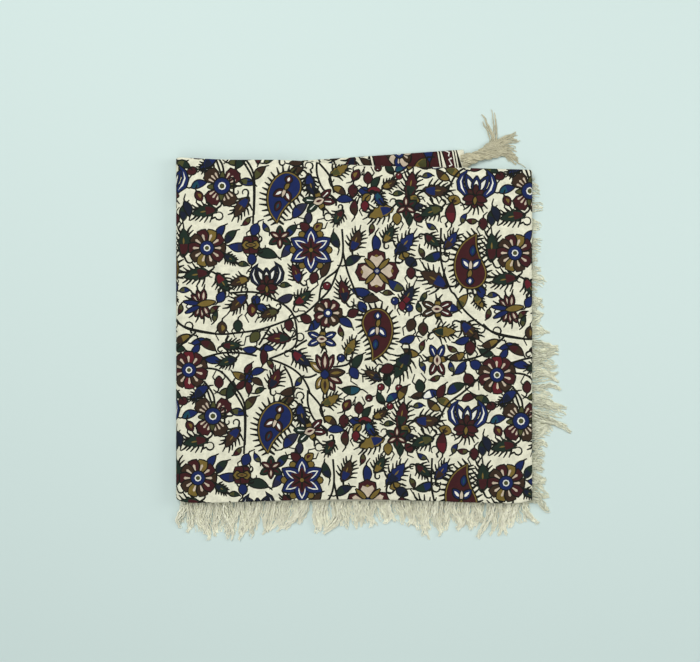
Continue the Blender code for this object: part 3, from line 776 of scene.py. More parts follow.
# Motifs of one repeat, as chart steps: kind, x, y, turn, length, dye, second dye
MOTIFS = [
    ("bristled", 208, 165, 215, 16, "blue", "olive"), ("leaf", 236, 163, 0, 12, "green", "olive"),
    ("bud", 192, 171, 200, 9, "maroon"), ("leaf", 183, 167, 60, 10, "green"),
    ("leaf", 199, 185, 20, 13, "blue", "teal"), ("bud", 199, 196, 300, 9, "maroon", "ochre"),
    ("leaf", 247, 183, 350, 12, "blue", "olive"), ("leaf", 260, 173, 50, 13, "brown", "olive"),
    ("bristled", 242, 207, 235, 22, "brown", "blue"),
    ("bristled", 205, 212, 190, 23, "green", "maroon"), ("curl", 219, 216, 0, 4, "black"),
    ("leaf", 185, 212, 80, 14, "green", "navy"), ("leaf", 296, 172, 30, 13, "brown", "olive"),
    ("bristled", 311, 184, 285, 20, "navy", "blue"), ("curl", 309, 166, 90, 4, "black"),
    ("bristled", 339, 170, 30, 18, "ochre", "olive"), ("bud", 356, 175, 60, 10, "maroon", "ochre"),
    ("leaf", 339, 191, 330, 12, "brown", "ochre"), ("bud", 353, 191, 270, 11, "maroon"),
    ("leaf", 345, 200, 0, 13, "blue"), ("leaf", 355, 208, 90, 12, "maroon", "brown"),
    ("lily", 319, 201, 20, 14, "maroon", "green"), ("leaf", 307, 219, 250, 12, "purple"),
    ("curl", 328, 217, 180, 4, "black"), ("leaf", 300, 211, 45, 16, "purple", "blue"),
    ("bristled", 339, 217, 240, 15, "green", "maroon"), ("bud", 368, 178, 90, 10, "maroon"),
    ("leaf", 376, 183, 60, 11, "green"), ("bud", 364, 191, 180, 9, "blue"),
    ("leaf", 374, 191, 0, 11, "red"), ("bud", 366, 198, 230, 9, "ochre"),
    ("bristled", 380, 199, 300, 15, "blue", "teal"), ("bud", 365, 206, 270, 9, "red"),
    ("bristled", 389, 184, 30, 15, "brown", "ochre"), ("berry", 399, 176, 60, 6, "red"),
    ("leaf", 390, 168, 120, 11, "green"), ("berry", 378, 168, 200, 6, "maroon"),
    ("berry", 381, 387, 90, 6, "red"), ("berry", 399, 388, 60, 6, "red"),
    ("leaf", 388, 379, 100, 12, "green"), ("leaf", 393, 398, 30, 12, "blue", "teal"),
    ("leaf", 403, 393, 60, 13, "brown", "ochre"), ("bristled", 373, 376, 150, 17, "brown", "navy"),
    ("bristled", 410, 185, 80, 24, "maroon", "green"), ("bud", 415, 199, 330, 9, "ochre", "olive"),
    ("bristled", 436, 190, 0, 24, "brown", "blue"),
    ("triangle_star", 406, 207, 90, 10, "maroon", "green"), ("leaf", 417, 208, 20, 11, "navy"),
    ("leaf", 408, 219, 280, 11, "green"), ("bud", 418, 218, 310, 9, "maroon"),
    ("bristled", 381, 213, 200, 24, "ochre", "blue"), ("bud", 397, 219, 270, 10, "ochre"),
    ("bristled", 432, 212, 200, 21, "green", "olive"), ("curl", 444, 220, 90, 4, "black"),
    ("leaf", 443, 175, 140, 13, "brown", "ochre"), ("crown_flower", 475, 197, 85, 20, "blue", "maroon"),
    ("bud", 454, 200, 160, 11, "ochre", "brown"), ("bud", 483, 224, 270, 10, "maroon"),
    ("leaf", 495, 214, 290, 13, "navy"), ("leaf", 452, 213, 90, 17, "maroon", "red"),
    ("leaf", 478, 168, 20, 12, "maroon"), ("leaf", 491, 170, 340, 12, "green", "olive"),
    ("four_petals", 222, 186, 0, 20, "brown", "maroon"),
    ("paisley", 283.2, 197.9, 250, -52, "blue", "maroon"),
    ("rosette", 207, 248, 0, 18, "maroon", "ochre"), ("leaf", 221, 232, 60, 12, "blue"),
    ("leaf", 231, 237, 50, 13, "green", "navy"), ("leaf", 238, 246, 180, 15, "blue", "purple"),
    ("small_flower", 251, 245, 0, 10, "maroon", "ochre"), ("bud", 255, 230, 250, 11, "blue"),
    ("bud", 252, 259, 90, 10, "blue"), ("leaf", 267, 255, 350, 17, "green"),
    ("bristled", 230, 258, 330, 13, "green", "navy"),
    ("bristled", 197, 275, 190, 24, "green", "maroon"), ("bristled", 223, 282, 305, 20, "green", "red"),
    ("bristled", 240, 282, 200, 18, "brown", "ochre"),
    ("bristled", 183, 243, 90, 26, "green", "maroon"),
    ("star_flower", 311, 250, 90, 21, "blue", "maroon"), ("bud", 305, 227, 140, 10, "maroon"),
    ("bud", 318, 227, 40, 9, "ochre", "maroon"), ("triangle_star", 280, 238, 30, 10, "maroon", "green"),
    ("leaf", 292, 231, 50, 12, "green", "blue"), ("leaf", 286, 250, 240, 13, "purple", "blue"),
    ("crown_flower", 267, 286, 92, 17, "navy", "maroon"),
    ("bristled", 296, 274, 110, 18, "maroon", "blue"), ("leaf", 326, 270, 60, 13, "brown"),
    ("bud", 314, 278, 250, 10, "maroon"), ("bristled", 302, 298, 40, 19, "green", "red"),
    ("leaf", 285, 298, 200, 13, "purple"), ("leaf", 336, 240, 110, 13, "green", "navy"),
    ("bristled", 355, 241, 70, 21, "brown", "blue"), ("leaf", 353, 261, 30, 14, "navy", "green"),
    ("berry", 327, 286, 30, 7, "red"), ("bristled", 343, 292, 100, 21, "maroon", "navy"),
    ("leaf", 361, 291, 170, 15, "blue"), ("eight_petals", 377, 271, 0, 20, "petal", "ochre"),
    ("leaf", 375, 244, 270, 14, "blue"), ("bristled", 388, 235, 60, 17, "green", "ochre"),
    ("bristled", 404, 244, 50, 25, "blue", "navy"), ("bud", 404, 256, 200, 9, "ochre"),
    ("bud", 411, 262, 330, 11, "navy"), ("bud", 411, 273, 270, 10, "maroon"),
    ("leaf", 396, 285, 150, 15, "blue", "olive"), ("bristled", 434, 280, 150, 28, "brown", "blue"),
    ("bristled", 407, 296, 60, 20, "navy", "red"), ("bristled", 432, 240, 320, 17, "green", "maroon"),
    ("bristled", 450, 241, 55, 19, "blue", "brown"), ("leaf", 433, 256, 200, 15, "green", "blue"),
    ("curl", 445, 258, 0, 4, "black"), ("paisley", 472.0, 260.9, 87, 55, "maroon", "blue"),
    ("bristled", 479, 301, 300, 14, "ochre", "olive"), ("bud", 481, 292, 100, 10, "blue"),
    ("tulip", 203, 304, 190, 16, "maroon", "ochre"), ("bristled", 239, 303, 225, 21, "brown", "blue"),
    ("bud", 221, 297, 60, 10, "blue"), ("berry", 256, 300, 90, 8, "blue"),
    ("bud", 262, 308, 330, 9, "blue"), ("bud", 252, 310, 270, 11, "maroon", "ochre"),
    ("curl", 189, 326, 90, 4, "black"), ("bud", 222, 328, 270, 11, "brown", "ochre"),
    ("bud", 238, 326, 270, 10, "green"), ("leaf", 182, 338, 200, 14, "brown", "ochre"),
    ("leaf", 178, 347, 160, 12, "green"), ("leaf", 198, 341, 200, 11, "blue"),
    ("leaf", 195, 349, 230, 10, "blue"), ("leaf", 208, 346, 330, 14, "brown", "maroon"),
    ("bristled", 231, 345, 0, 17, "green", "maroon"), ("bud", 255, 337, 230, 11, "olive"),
    ("leaf", 250, 349, 180, 11, "blue"), ("leaf", 267, 349, 0, 11, "blue"),
    ("leaf", 263, 357, 270, 12, "maroon"), ("leaf", 213, 361, 350, 13, "blue"),
    ("bristled", 228, 362, 200, 17, "green", "navy"), ("rosette", 189, 370, 20, 18, "maroon", "red"),
    ("comb", 202, 392, 40, 15, "blue", "navy"), ("bud", 219, 382, 90, 10, "maroon"),
    ("leaf", 230, 390, 250, 15, "green"), ("leaf", 249, 370, 70, 11, "maroon"),
    ("leaf", 240, 375, 160, 12, "ochre", "brown"), ("bud", 249, 378, 270, 9, "blue"),
    ("leaf", 258, 372, 20, 11, "blue"), ("leaf", 257, 382, 330, 10, "brown"),
    ("leaf", 240, 385, 220, 10, "maroon"), ("leaf", 248, 388, 280, 10, "maroon"),
    ("bristled", 274, 379, 65, 20, "maroon", "navy"),
    ("small_rosette", 328, 313, 0, 14, "maroon", "blue"), ("leaf", 314, 324, 230, 13, "blue"),
    ("leaf", 345, 323, 330, 13, "blue"), ("bud", 306, 319, 150, 10, "maroon"),
    ("bud", 289, 325, 270, 10, "maroon"), ("bud", 353, 313, 30, 10, "maroon"),
    ("bristled", 270, 314, 200, 17, "brown", "olive"),
    ("bristled", 279, 339, 180, 22, "maroon", "green"), ("curl", 300, 337, 0, 4, "black"),
    ("lily", 322, 339, 0, 13, "blue", "blue"), ("bristled", 350, 347, 60, 17, "ochre", "olive"),
    ("bristled", 301, 358, 320, 21, "navy", "red"), ("berry", 341, 358, 60, 7, "blue"),
    ("lotus", 325, 374, 90, 20, "maroon", "ochre"), ("leaf", 358, 362, 60, 14, "green"),
    ("bud", 354, 373, 300, 11, "blue"), ("leaf", 351, 389, 180, 15, "green", "teal"),
    ("leaf", 288, 391, 200, 13, "brown"), ("paisley", 376.0, 335.0, 268, 52, "maroon", "blue"),
    ("bud", 362, 307, 120, 10, "blue"), ("leaf", 371, 300, 0, 13, "brown"),
    ("berry", 395, 301, 90, 7, "blue"), ("berry", 409, 308, 90, 7, "blue"),
    ("bud", 402, 306, 270, 8, "red"), ("lily", 437, 309, 0, 14, "maroon", "brown"),
    ("leaf", 450, 309, 350, 14, "blue", "white"), ("bristled", 444, 331, 0, 21, "ochre", "green"),
    ("bud", 411, 325, 250, 11, "brown"), ("bud", 423, 329, 270, 11, "brown", "maroon"),
    ("leaf", 407, 339, 200, 13, "blue"), ("leaf", 411, 352, 160, 13, "brown", "ochre"),
    ("lily", 437, 360, 90, 14, "blue", "maroon"), ("bristled", 403, 365, 240, 27, "green", "navy"),
    ("bud", 387, 369, 200, 12, "maroon"), ("leaf", 463, 302, 60, 14, "ochre", "olive"),
    ("bristled", 470, 330, 315, 23, "brown", "blue"), ("curl", 481, 329, 0, 4, "black"),
    ("leaf", 462, 340, 200, 12, "blue"), ("bud", 470, 348, 270, 12, "maroon"),
    ("leaf", 457, 356, 200, 13, "brown", "ochre"), ("leaf", 460, 368, 230, 13, "blue"),
    ("bud", 476, 365, 330, 11, "blue"), ("bud", 469, 380, 300, 12, "maroon"),
    ("leaf", 456, 389, 30, 16, "green", "blue"), ("bud", 420, 386, 100, 11, "green"),
    ("leaf", 417, 395, 200, 10, "brown"), ("leaf", 431, 395, 20, 14, "blue", "white"),
    ("leaf", 442, 392, 70, 13, "maroon"), ("leaf", 444, 403, 330, 13, "ochre", "olive"),
]


def chart_point(x, y):
    """A place of the chart on the flat cloth, in metres."""
    return Vector(((x - CHART_MIDDLE[0]) * CHART_STEP, (CHART_MIDDLE[1] - y) * CHART_STEP))


# Fillers between the motifs: how finely the gaps are searched, and the room that each kind needs
GAP_CELL = 1.5 * MM
GAP_STEP = 3.0 * MM
HOOK_ROOM = 3.5 * MM
LEAF_ROOM = 4.1 * MM
BRISTLED_ROOM = 5.6 * MM
# Sizes of the fillers in mm: the leaves' lengths, and a hook's reach, radius and degrees
FILLER_BRISTLED = 12
FILLER_LEAF = 7.5
FILLER_HOOK = (3.8, 1.3, 130)
FILLER_DYES = ("maroon", "blue", "green", "brown")
# Rings that mark the inside of a motif as taken, as shares of its length
HEART_RINGS = (0.1, 0.2, 0.3)


class Gaps:
    """Places of one repeat that hold no line of the print yet, found on a grid that repeats with it."""

    def __init__(self, across, down):
        self.ways = (across, down)
        self.area = across.cross(down)
        self.counts = (round(across.length / GAP_CELL), round(down.length / GAP_CELL))
        self.taken = set()

    def cell(self, point):
        """The cell of a point, the same one in every repeat."""
        across, down = self.ways
        shares = (point.cross(down) / self.area % 1.0, across.cross(point) / self.area % 1.0)
        return tuple(int(share * count) % count for share, count in zip(shares, self.counts))

    def take(self, points):
        """Mark the line through the points as taken."""
        for index, point in enumerate(points):
            before = points[index - 1]
            parts = int((point - before).length / GAP_CELL) + 1
            for part in range(parts):
                self.taken.add(self.cell(before.lerp(point, part / parts)))

    def free(self, point, room):
        """Whether nothing is marked within some room of a point."""
        reach = int(room / GAP_CELL) + 1
        for row in range(-reach, reach + 1):
            for column in range(-reach, reach + 1):
                step = Vector((row, column)) * GAP_CELL
                if step.length <= room and self.cell(point + step) in self.taken:
                    return False
        return True


def fill_gaps(sheet, across, down):
    """Small leaves and hooks in the gaps between the motifs."""
    gaps = Gaps(across, down)
    for _, points in sheet.shapes:
        gaps.take(points)
    for _, x, y, _, length, *_ in MOTIFS:
        for share in HEART_RINGS:
            gaps.take(ring(chart_point(x, y), share * abs(length) * CHART_STEP, 12))
    rows = int(down.length / GAP_STEP)
    columns = int(across.length / GAP_STEP)
    for row in range(rows):
        for column in range(columns):
            jitter = Vector((sheet.random.uniform(-1, 1), sheet.random.uniform(-1, 1))) * (GAP_STEP / 3)
            point = across * (column / columns) + down * (row / rows) + jitter
            place = Place(*point, sheet.random.uniform(0, 360))
            before = len(sheet.shapes)
            dye = sheet.random.choice(FILLER_DYES)
            if gaps.free(point, BRISTLED_ROOM):
                bristled(sheet, place, FILLER_BRISTLED, dye, "olive")
            elif gaps.free(point, LEAF_ROOM):
                leaf(sheet, place, FILLER_LEAF, dye, "olive")
            elif gaps.free(point, HOOK_ROOM):
                hook(sheet, place.turned(0, -3.0), *FILLER_HOOK)
            for _, points in sheet.shapes[before:]:
                gaps.take(points)


# Motifs that the stems run over, and the others, which are laid over the stems
LEAFY = (leaf, comb, bristled, bud, berry, curl)
FLOWERS = (rosette, four_petals, eight_petals, small_rosette, star_flower, crown_flower)
FLOWERS += (lotus, tulip, lily, small_flower, triangle_star, paisley)


def lay_motifs(sheet, makers):
    """Lay down the motifs of one repeat that some functions make, in the order of the chart."""
    named = {maker.__name__: maker for maker in makers}
    for kind, x, y, turn, length, *dyes in MOTIFS:
        if kind in named:
            place = Place(*chart_point(x, y), turn, flip=-1 if length < 0 else 1)
            named[kind](sheet, place, abs(length) * (CHART_STEP / MM), dyes[0], dyes[-1])


def one_repeat(fine, across, down):
    """Shapes of one repeat of the field."""
    sheet = PrintSheet(fine)
    lay_motifs(sheet, LEAFY)
    for stem in STEMS:
        line = curve([chart_point(x, y) for x, y in stem], sheet.either(4, 2))
        sheet.stroke("black", line, STEM_LINE, STEM_LINE)
    lay_motifs(sheet, FLOWERS)
    if fine:
        fill_gaps(sheet, across, down)
    return sheet.shapes


# Border of the cloth: distances from the hem and the dye of each stripe
BORDER_DEPTH = 103 * MM
BORDER_STRIPES = [
    (0.0, 103.0, "ground"), (101.2, 103.0, "black"), (97.6, 99.4, "black"), (30.0, 97.6, "maroon"),
    (28.6, 30.0, "black"), (25.4, 27.2, "black"), (22.2, 24.0, "black"), (13.8, 22.2, "maroon"),
    (12.6, 13.8, "black"), (9.8, 11.2, "black"), (7.0, 8.4, "black"), (0.0, 7.0, "hem"),
]
BORDER_PITCH = 58 * MM
SCROLL_PITCH = 9.5 * MM
# Leaves of one pitch of the border: mm from the hem and from the pitch's middle, turn, mm long, dyes
BORDER_LEAVES = [
    (40, 0, 90, 20, "blue", "petal"),
    (52, 14, 30, 17, "ochre", "olive"),
    (52, -16, 320, 17, "green", "ochre"),
    (88, 22, 60, 17, "green", "olive"),
    (86, -22, 290, 17, "ochre", "petal"),
    (70, 27, 180, 15, "olive", "ochre"),
]
# Middles of the border's flowers and scroll from the hem, the flowers' sizes in mm, and the scroll's line
ROSETTE_ROW = 70 * MM
ROSETTE_SIZE = 13
SMALL_ROW = 42 * MM
SMALL_SIZE = 9
SCROLL_ROW = 18 * MM
SCROLL_TURNS = (110, 70)
SCROLL = ((-4, 1.5), (-2, -1.5), (2, 1.5), (4, -1.5))
SCROLL_LINE = 1.5 * MM
SCROLL_END = 1.2 * MM


def border_shapes(first, last):
    """Shapes of the border along the side hem, its flowers between two distances along it."""
    sheet = PrintSheet(True)
    for near, far, dye in BORDER_STRIPES:
        left, right = S_MIN + near * MM, S_MIN + far * MM
        rows = [(left, T_MIN), (right, T_MIN), (right, T_MAX), (left, T_MAX)]
        sheet.fill(dye, [Vector(row) for row in rows])
    for index in range(int((last - first) / BORDER_PITCH) + 1):
        y = last - (index + 0.5) * BORDER_PITCH
        for x, shift, turn, length, dye, second in BORDER_LEAVES:
            leaf(sheet, Place(S_MIN + x * MM, y + shift * MM, turn), length, dye, second)
        rosette(sheet, Place(S_MIN + ROSETTE_ROW, y, 0), ROSETTE_SIZE, "petal", "blue")
        small_rosette(sheet, Place(S_MIN + SMALL_ROW, y + BORDER_PITCH / 2, 0), SMALL_SIZE, "blue", "petal")
    for index in range(int((last - first) / SCROLL_PITCH)):
        place = Place(S_MIN + SCROLL_ROW, last - (index + 0.5) * SCROLL_PITCH, SCROLL_TURNS[index % 2])
        sheet.stroke("white", place.points(SCROLL), SCROLL_LINE, SCROLL_END)
    return sheet.shapes


# Zones of the flat cloth that can be seen, as s and t from and to: the top face with its folds, the
# underside and the strip of the lowest part behind the top part
EDGE_ROOM = 12 * MM
TOP_ZONE = (LEFT - EDGE_ROOM, RIGHT + EDGE_ROOM, -HALF_DEPTH - EDGE_ROOM, HALF_DEPTH + EDGE_ROOM)
UNDER_ZONE = (S_MIN, LEFT - EDGE_ROOM, -HALF_DEPTH - EDGE_ROOM, HALF_DEPTH + EDGE_ROOM)
STRIP_BACK = HALF_DEPTH + 3 * EDGE_ROOM
STRIP_ZONE = (S_MIN, LEFT - EDGE_ROOM, HALF_DEPTH - EDGE_ROOM, STRIP_BACK)
# Repeats of the print that these zones hold, counted from the chart's own
REPEATS_ACROSS = range(-2, 2)
REPEATS_DOWN = range(-2, 3)


def reach_of(points):
    """The zone that a shape reaches over."""
    xs = [point.x for point in points]
    ys = [point.y for point in points]
    return min(xs), max(xs), min(ys), max(ys)


def touches(points, zone):
    """Whether a shape reaches into a zone."""
    left, right, front, back = reach_of(points)
    return right > zone[0] and left < zone[1] and back > zone[2] and front < zone[3]


def inside(point, zone):
    """Whether a point lies in a zone."""
    return zone[0] <= point.x <= zone[1] and zone[2] <= point.y <= zone[3]


def printed_shapes():
    """All shapes of the print on the seen zones of the flat cloth, in the order that they are laid."""
    shapes = []
    step_across = Vector((REPEAT_ACROSS[0], -REPEAT_ACROSS[1])) * CHART_STEP
    step_down = Vector((REPEAT_DOWN[0], -REPEAT_DOWN[1])) * CHART_STEP
    fine = one_repeat(True, step_across, step_down)
    plain = one_repeat(False, step_across, step_down)
    for across in REPEATS_ACROSS:
        for down in REPEATS_DOWN:
            move = step_across * across + step_down * down
            for source, zones in ((fine, (TOP_ZONE, STRIP_ZONE)), (plain, (UNDER_ZONE,))):
                for order, (dye, points) in enumerate(source):
                    outline = [point + move for point in points]
                    if not any(touches(outline, zone) for zone in zones):
                        continue
                    if source is plain and (touches(outline, STRIP_ZONE) or touches(outline, TOP_ZONE)):
                        continue
                    shapes.append((order, dye, outline))
    shapes.sort(key=lambda shape: shape[0])
    border = S_MIN + BORDER_DEPTH / 2
    result = [(dye, points) for _, dye, points in shapes if reach_of(points)[0] > border]
    return result + border_shapes(UNDER_ZONE[2], STRIP_BACK)


# Steps of the grids on the seen zones and elsewhere, and the lines along a bend
FACE_STEP = 6 * MM
COARSE_STEP = 16 * MM
BEND_LINES = 8


def fold_lines():
    """Lines of the flat cloth that its bends follow, and points that carry its waves."""
    lines = []
    for start, end in ((FOLD_RIGHT, TUCKED_START), (UNDER_START, FOLD_LEFT)):
        for step in range(BEND_LINES + 1):
            s = start + (end - start) * step / BEND_LINES
            lines.append([Vector((s, T_MIN)), Vector((s, T_MAX))])
    steps = int((S_MAX - S_MIN) / COARSE_STEP)
    for step in range(BEND_LINES + 1):
        share = step / BEND_LINES
        front_line, back_line = [], []
        for index in range(steps + 1):
            s = S_MIN + (S_MAX - S_MIN) * index / steps
            back, front = across_fold(s)[4:6]
            back_line.append(Vector((s, back - BACK_RADIUS + math.pi * BACK_RADIUS * share)))
            front_line.append(Vector((s, front + FRONT_RADIUS - math.pi * FRONT_RADIUS * share)))
        lines += [front_line, back_line]
    return lines


def grid_points(step, zones):
    """Points of an even grid over some zones of the flat cloth."""
    points = []
    for left, right, front, back in zones:
        columns = int((right - left) / step)
        rows = int((back - front) / step)
        for column in range(columns):
            for row in range(rows):
                points.append(Vector((left + (column + 0.5) * step, front + (row + 0.5) * step)))
    return points


# Points of the flat print that lie nearer to each other than this are one
CDT_NEARNESS = 0.02 * MM


def triangulated(loops, lines, points):
    """Triangles over closed loops, open lines and points, with the loops that each triangle lies in."""
    corners, edges, faces = [], [], []
    for loop in loops:
        faces.append(list(range(len(corners), len(corners) + len(loop))))
        corners += loop
    for line in lines:
        edges += [(len(corners) + index, len(corners) + index + 1) for index in range(len(line) - 1)]
        corners += line
    corners += points
    result = delaunay_2d_cdt(corners, edges, faces, 0, CDT_NEARNESS, True)
    return result[0], result[2], result[3], result[5]


# How far the area that a loop owns may be off before its triangles are found again
AREA_DOUBT = 0.25


def winds_round(loop, point):
    """Whether a loop runs round a point."""
    turns = 0
    for index, end in enumerate(loop):
        start = loop[index - 1]
        if (start.y <= point.y) != (end.y <= point.y):
            left_of = (end - start).cross(point - start) > 0
            if left_of and end.y > start.y:
                turns += 1
            elif not left_of and end.y <= start.y:
                turns -= 1
    return turns != 0


def checked_owners(loops, places, triangles, owners):
    """The loops that each triangle lies in, found again for loops that own too much or too little."""
    reaches = [reach_of(loop) for loop in loops]
    centres = [sum((places[corner] for corner in triangle), Vector((0, 0))) / 3 for triangle in triangles]
    result = []
    claimed = [0.0] * len(loops)
    for triangle, centre, owned in zip(triangles, centres, owners):
        kept = [owner for owner in owned if inside(centre, reaches[owner])]
        first, second, third = (places[corner] for corner in triangle)
        area = abs((second - first).cross(third - first)) / 2
        for owner in kept:
            claimed[owner] += area
        result.append(kept)
    for number, loop in enumerate(loops):
        area = signed_area(loop)
        if number == 0 or abs(claimed[number] - area) < AREA_DOUBT * area:
            continue
        for index, centre in enumerate(centres):
            if not inside(centre, reaches[number]):
                continue
            within = winds_round(loop, centre)
            if within and number not in result[index]:
                result[index].append(number)
            elif not within and number in result[index]:
                result[index].remove(number)
    return result


# Corners taken out of the flat print: room kept along the bends, how straight a seam is, and the least area
BEND_ROOM = 0.5 * MM
SEAM_NEARNESS = 0.03 * MM
LEAST_AREA = 1e-4 * MM**2


def carries_bend(point):
    """Whether a corner of the flat cloth lies on or near a bend."""
    if UNDER_START - BEND_ROOM < point.x < FOLD_LEFT + BEND_ROOM or point.x > FOLD_RIGHT - BEND_ROOM:
        return True
    back, front = across_fold(point.x)[4:6]
    return not front + FRONT_RADIUS + BEND_ROOM < point.y < back - BACK_RADIUS - BEND_ROOM


def slimmed(places, triangles, dyes, kept):
    """Triangles and dyes without the corners that no seam between two dyes needs."""
    triangles = list(triangles)
    around = [set() for _ in places]
    for number, triangle in enumerate(triangles):
        for corner in triangle:
            around[corner].add(number)
    for corner, place in enumerate(places):
        if corner in kept or not around[corner] or carries_bend(place):
            continue
        rows = []
        for number in around[corner]:
            turn = triangles[number].index(corner)
            rows.append((number, triangles[number][turn - 2], triangles[number][turn - 1]))
        left = {start: dyes[number] for number, start, _ in rows}
        right = {end: dyes[number] for number, _, end in rows}
        if left.keys() != right.keys():
            continue
        seams = [other for other in left if left[other] != right[other]]
        if len(seams) == 2:
            one, other = (places[seam] - place for seam in seams)
            if one.dot(other) > 0 or abs(one.cross(other)) > SEAM_NEARNESS * (one - other).length:
                continue
        elif seams:
            continue
        for target in seams or left:
            goal = places[target]
            if all(
                target in (start, end) or (places[start] - goal).cross(places[end] - goal) > LEAST_AREA
                for _, start, end in rows
            ):
                for number, start, end in rows:
                    for other in (corner, start, end):
                        around[other].discard(number)
                    if target in (start, end):
                        triangles[number] = None
                        continue
                    triangles[number] = (target, start, end)
                    for other in (target, start, end):
                        around[other].add(number)
                break
    left_over = [(triangle, dye) for triangle, dye in zip(triangles, dyes) if triangle is not None]
    return [triangle for triangle, _ in left_over], [dye for _, dye in left_over]


# Layout of the map that the finish is baked through: one square for each dye, filled by every tile
MAP_SQUARES = 4
TILE = 96 * MM
SQUARE_MARGIN = 0.12
# Steps along a straight bend on the back of the cloth
BACK_STEPS = 60


def bake_place(dye, s, t, tile_s, tile_t):
    """Place of a point in the square of its dye, repeated every tile of the cloth."""
    row, column = divmod(dye, MAP_SQUARES)
    room = 1 - 2 * SQUARE_MARGIN
    u = SQUARE_MARGIN + room * (s / TILE - tile_s)
    v = SQUARE_MARGIN + room * (t / TILE - tile_t)
    return (column + u) / MAP_SQUARES, (row + v) / MAP_SQUARES


def linear(colour):
    """A colour of sRGB hex digits as linear values, by the curve of sRGB."""
    result = []
    for index in (0, 2, 4):
        value = int(colour[index : index + 2], 16) / 255
        result.append(value / 12.92 if value <= 0.04045 else ((value + 0.055) / 1.055) ** 2.4)
    return result + [1.0]


def flat_print(lines, coarse):
    """The print on the flat cloth: its places, its triangles and the dye of each."""
    shapes = printed_shapes()
    frame_loop = [Vector(row) for row in ((S_MIN, T_MIN), (S_MAX, T_MIN), (S_MAX, T_MAX), (S_MIN, T_MAX))]
    points = grid_points(FACE_STEP, (TOP_ZONE, UNDER_ZONE)) + coarse
    loops = [frame_loop] + [outline for _, outline in shapes]
    places, triangles, origins, owners = triangulated(loops, lines, points)
    owners = checked_owners(loops, places, triangles, owners)
    dyes = [DYES.index("ground")] + [dye for dye, _ in shapes]
    faces = [tuple(triangle) for triangle, owned in zip(triangles, owners) if 0 in owned]
    face_dyes = [dyes[max(owned)] for owned in owners if 0 in owned]
    first_point = sum(len(row) for row in loops + lines)
    kept = {number for number, sources in enumerate(origins) if max(sources, default=-1) >= first_point}
    faces, face_dyes = slimmed(places, faces, face_dyes, kept)
    used = sorted({corner for face in faces for corner in face})
    number = {corner: index for index, corner in enumerate(used)}
    faces = [tuple(number[corner] for corner in face) for face in faces]
    return [places[corner] for corner in used], faces, face_dyes


def rim_loop(faces):
    """The corners along the edge of a sheet, in order."""
    sides = dict.fromkeys((face[index], face[(index + 1) % 3]) for face in faces for index in range(3))
    after = {start: end for start, end in sides if (end, start) not in sides}
    loop = [next(iter(after))]
    while after[loop[-1]] != loop[0]:
        loop.append(after[loop[-1]])
        if len(loop) > len(after):
            raise RuntimeError("the cloth's edge is not one loop")
    return loop


def back_points(lines, coarse):
    """Points of the cloth's back, which follow its bends."""
    points = list(coarse)
    for line in lines:
        rows = line[1:-1]
        if not rows:
            rows = [line[0].lerp(line[-1], share / BACK_STEPS) for share in range(1, BACK_STEPS)]
        points += [point for point in rows if S_MIN + MM < point.x < S_MAX - MM]
    return points


def add_layers(mesh, flat, face_dyes, colours):
    """Give a mesh the colour of each face's dye, its flat map and the map for baking."""
    dye_values, flat_values, bake_values = [], [], []
    for polygon in mesh.polygons:
        dye = face_dyes[polygon.index]
        corners = [flat[corner] for corner in polygon.vertices]
        tile_s = math.floor(sum(point.x for point in corners) / len(corners) / TILE)
        tile_t = math.floor(sum(point.y for point in corners) / len(corners) / TILE)
        for point in corners:
            dye_values += colours[dye]
            flat_values += [point.x, point.y]
            bake_values += bake_place(dye, point.x, point.y, tile_s, tile_t)
    mesh.color_attributes.new("dye", "FLOAT_COLOR", "CORNER").data.foreach_set("color", dye_values)
    for name, values in (("flat", flat_values), ("OFBake", bake_values)):
        mesh.uv_layers.new(name=name).data.foreach_set("uv", values)
    mesh.uv_layers.active = mesh.uv_layers["flat"]


def make_cloth_mesh(name, thickness, colours):
    """The folded cloth as one closed sheet, each face with its dye."""
    lines = fold_lines()
    coarse = grid_points(COARSE_STEP, ((S_MIN, S_MAX, T_MIN, T_MAX),))
    flat, faces, face_dyes = flat_print(lines, coarse)
    loop = rim_loop(faces)
    rim = [flat[corner] for corner in loop]
    back_places, back_faces, origins, _ = triangulated([rim], [], back_points(lines, coarse))
    offset = len(flat)
    partner = {}
    for index, sources in enumerate(origins):
        for source in sources:
            if source < len(loop):
                partner[loop[source]] = offset + index
    vertices = [cloth_point(point.x, point.y, 0.0) for point in flat]
    vertices += [cloth_point(point.x, point.y, thickness) for point in back_places]
    faces += [tuple(offset + corner for corner in reversed(face)) for face in back_faces]
    for index, end in enumerate(loop):
        start = loop[index - 1]
        faces.append((end, start, partner[start], partner[end]))
    face_dyes += [DYES.index("back")] * len(back_faces) + [DYES.index("hem")] * len(loop)

    mesh = bpy.data.meshes.new(name)
    mesh.from_pydata(vertices, [], faces)
    add_layers(mesh, flat + list(back_places), face_dyes, colours)
    mesh.validate()
    mesh.shade_smooth()
    return mesh


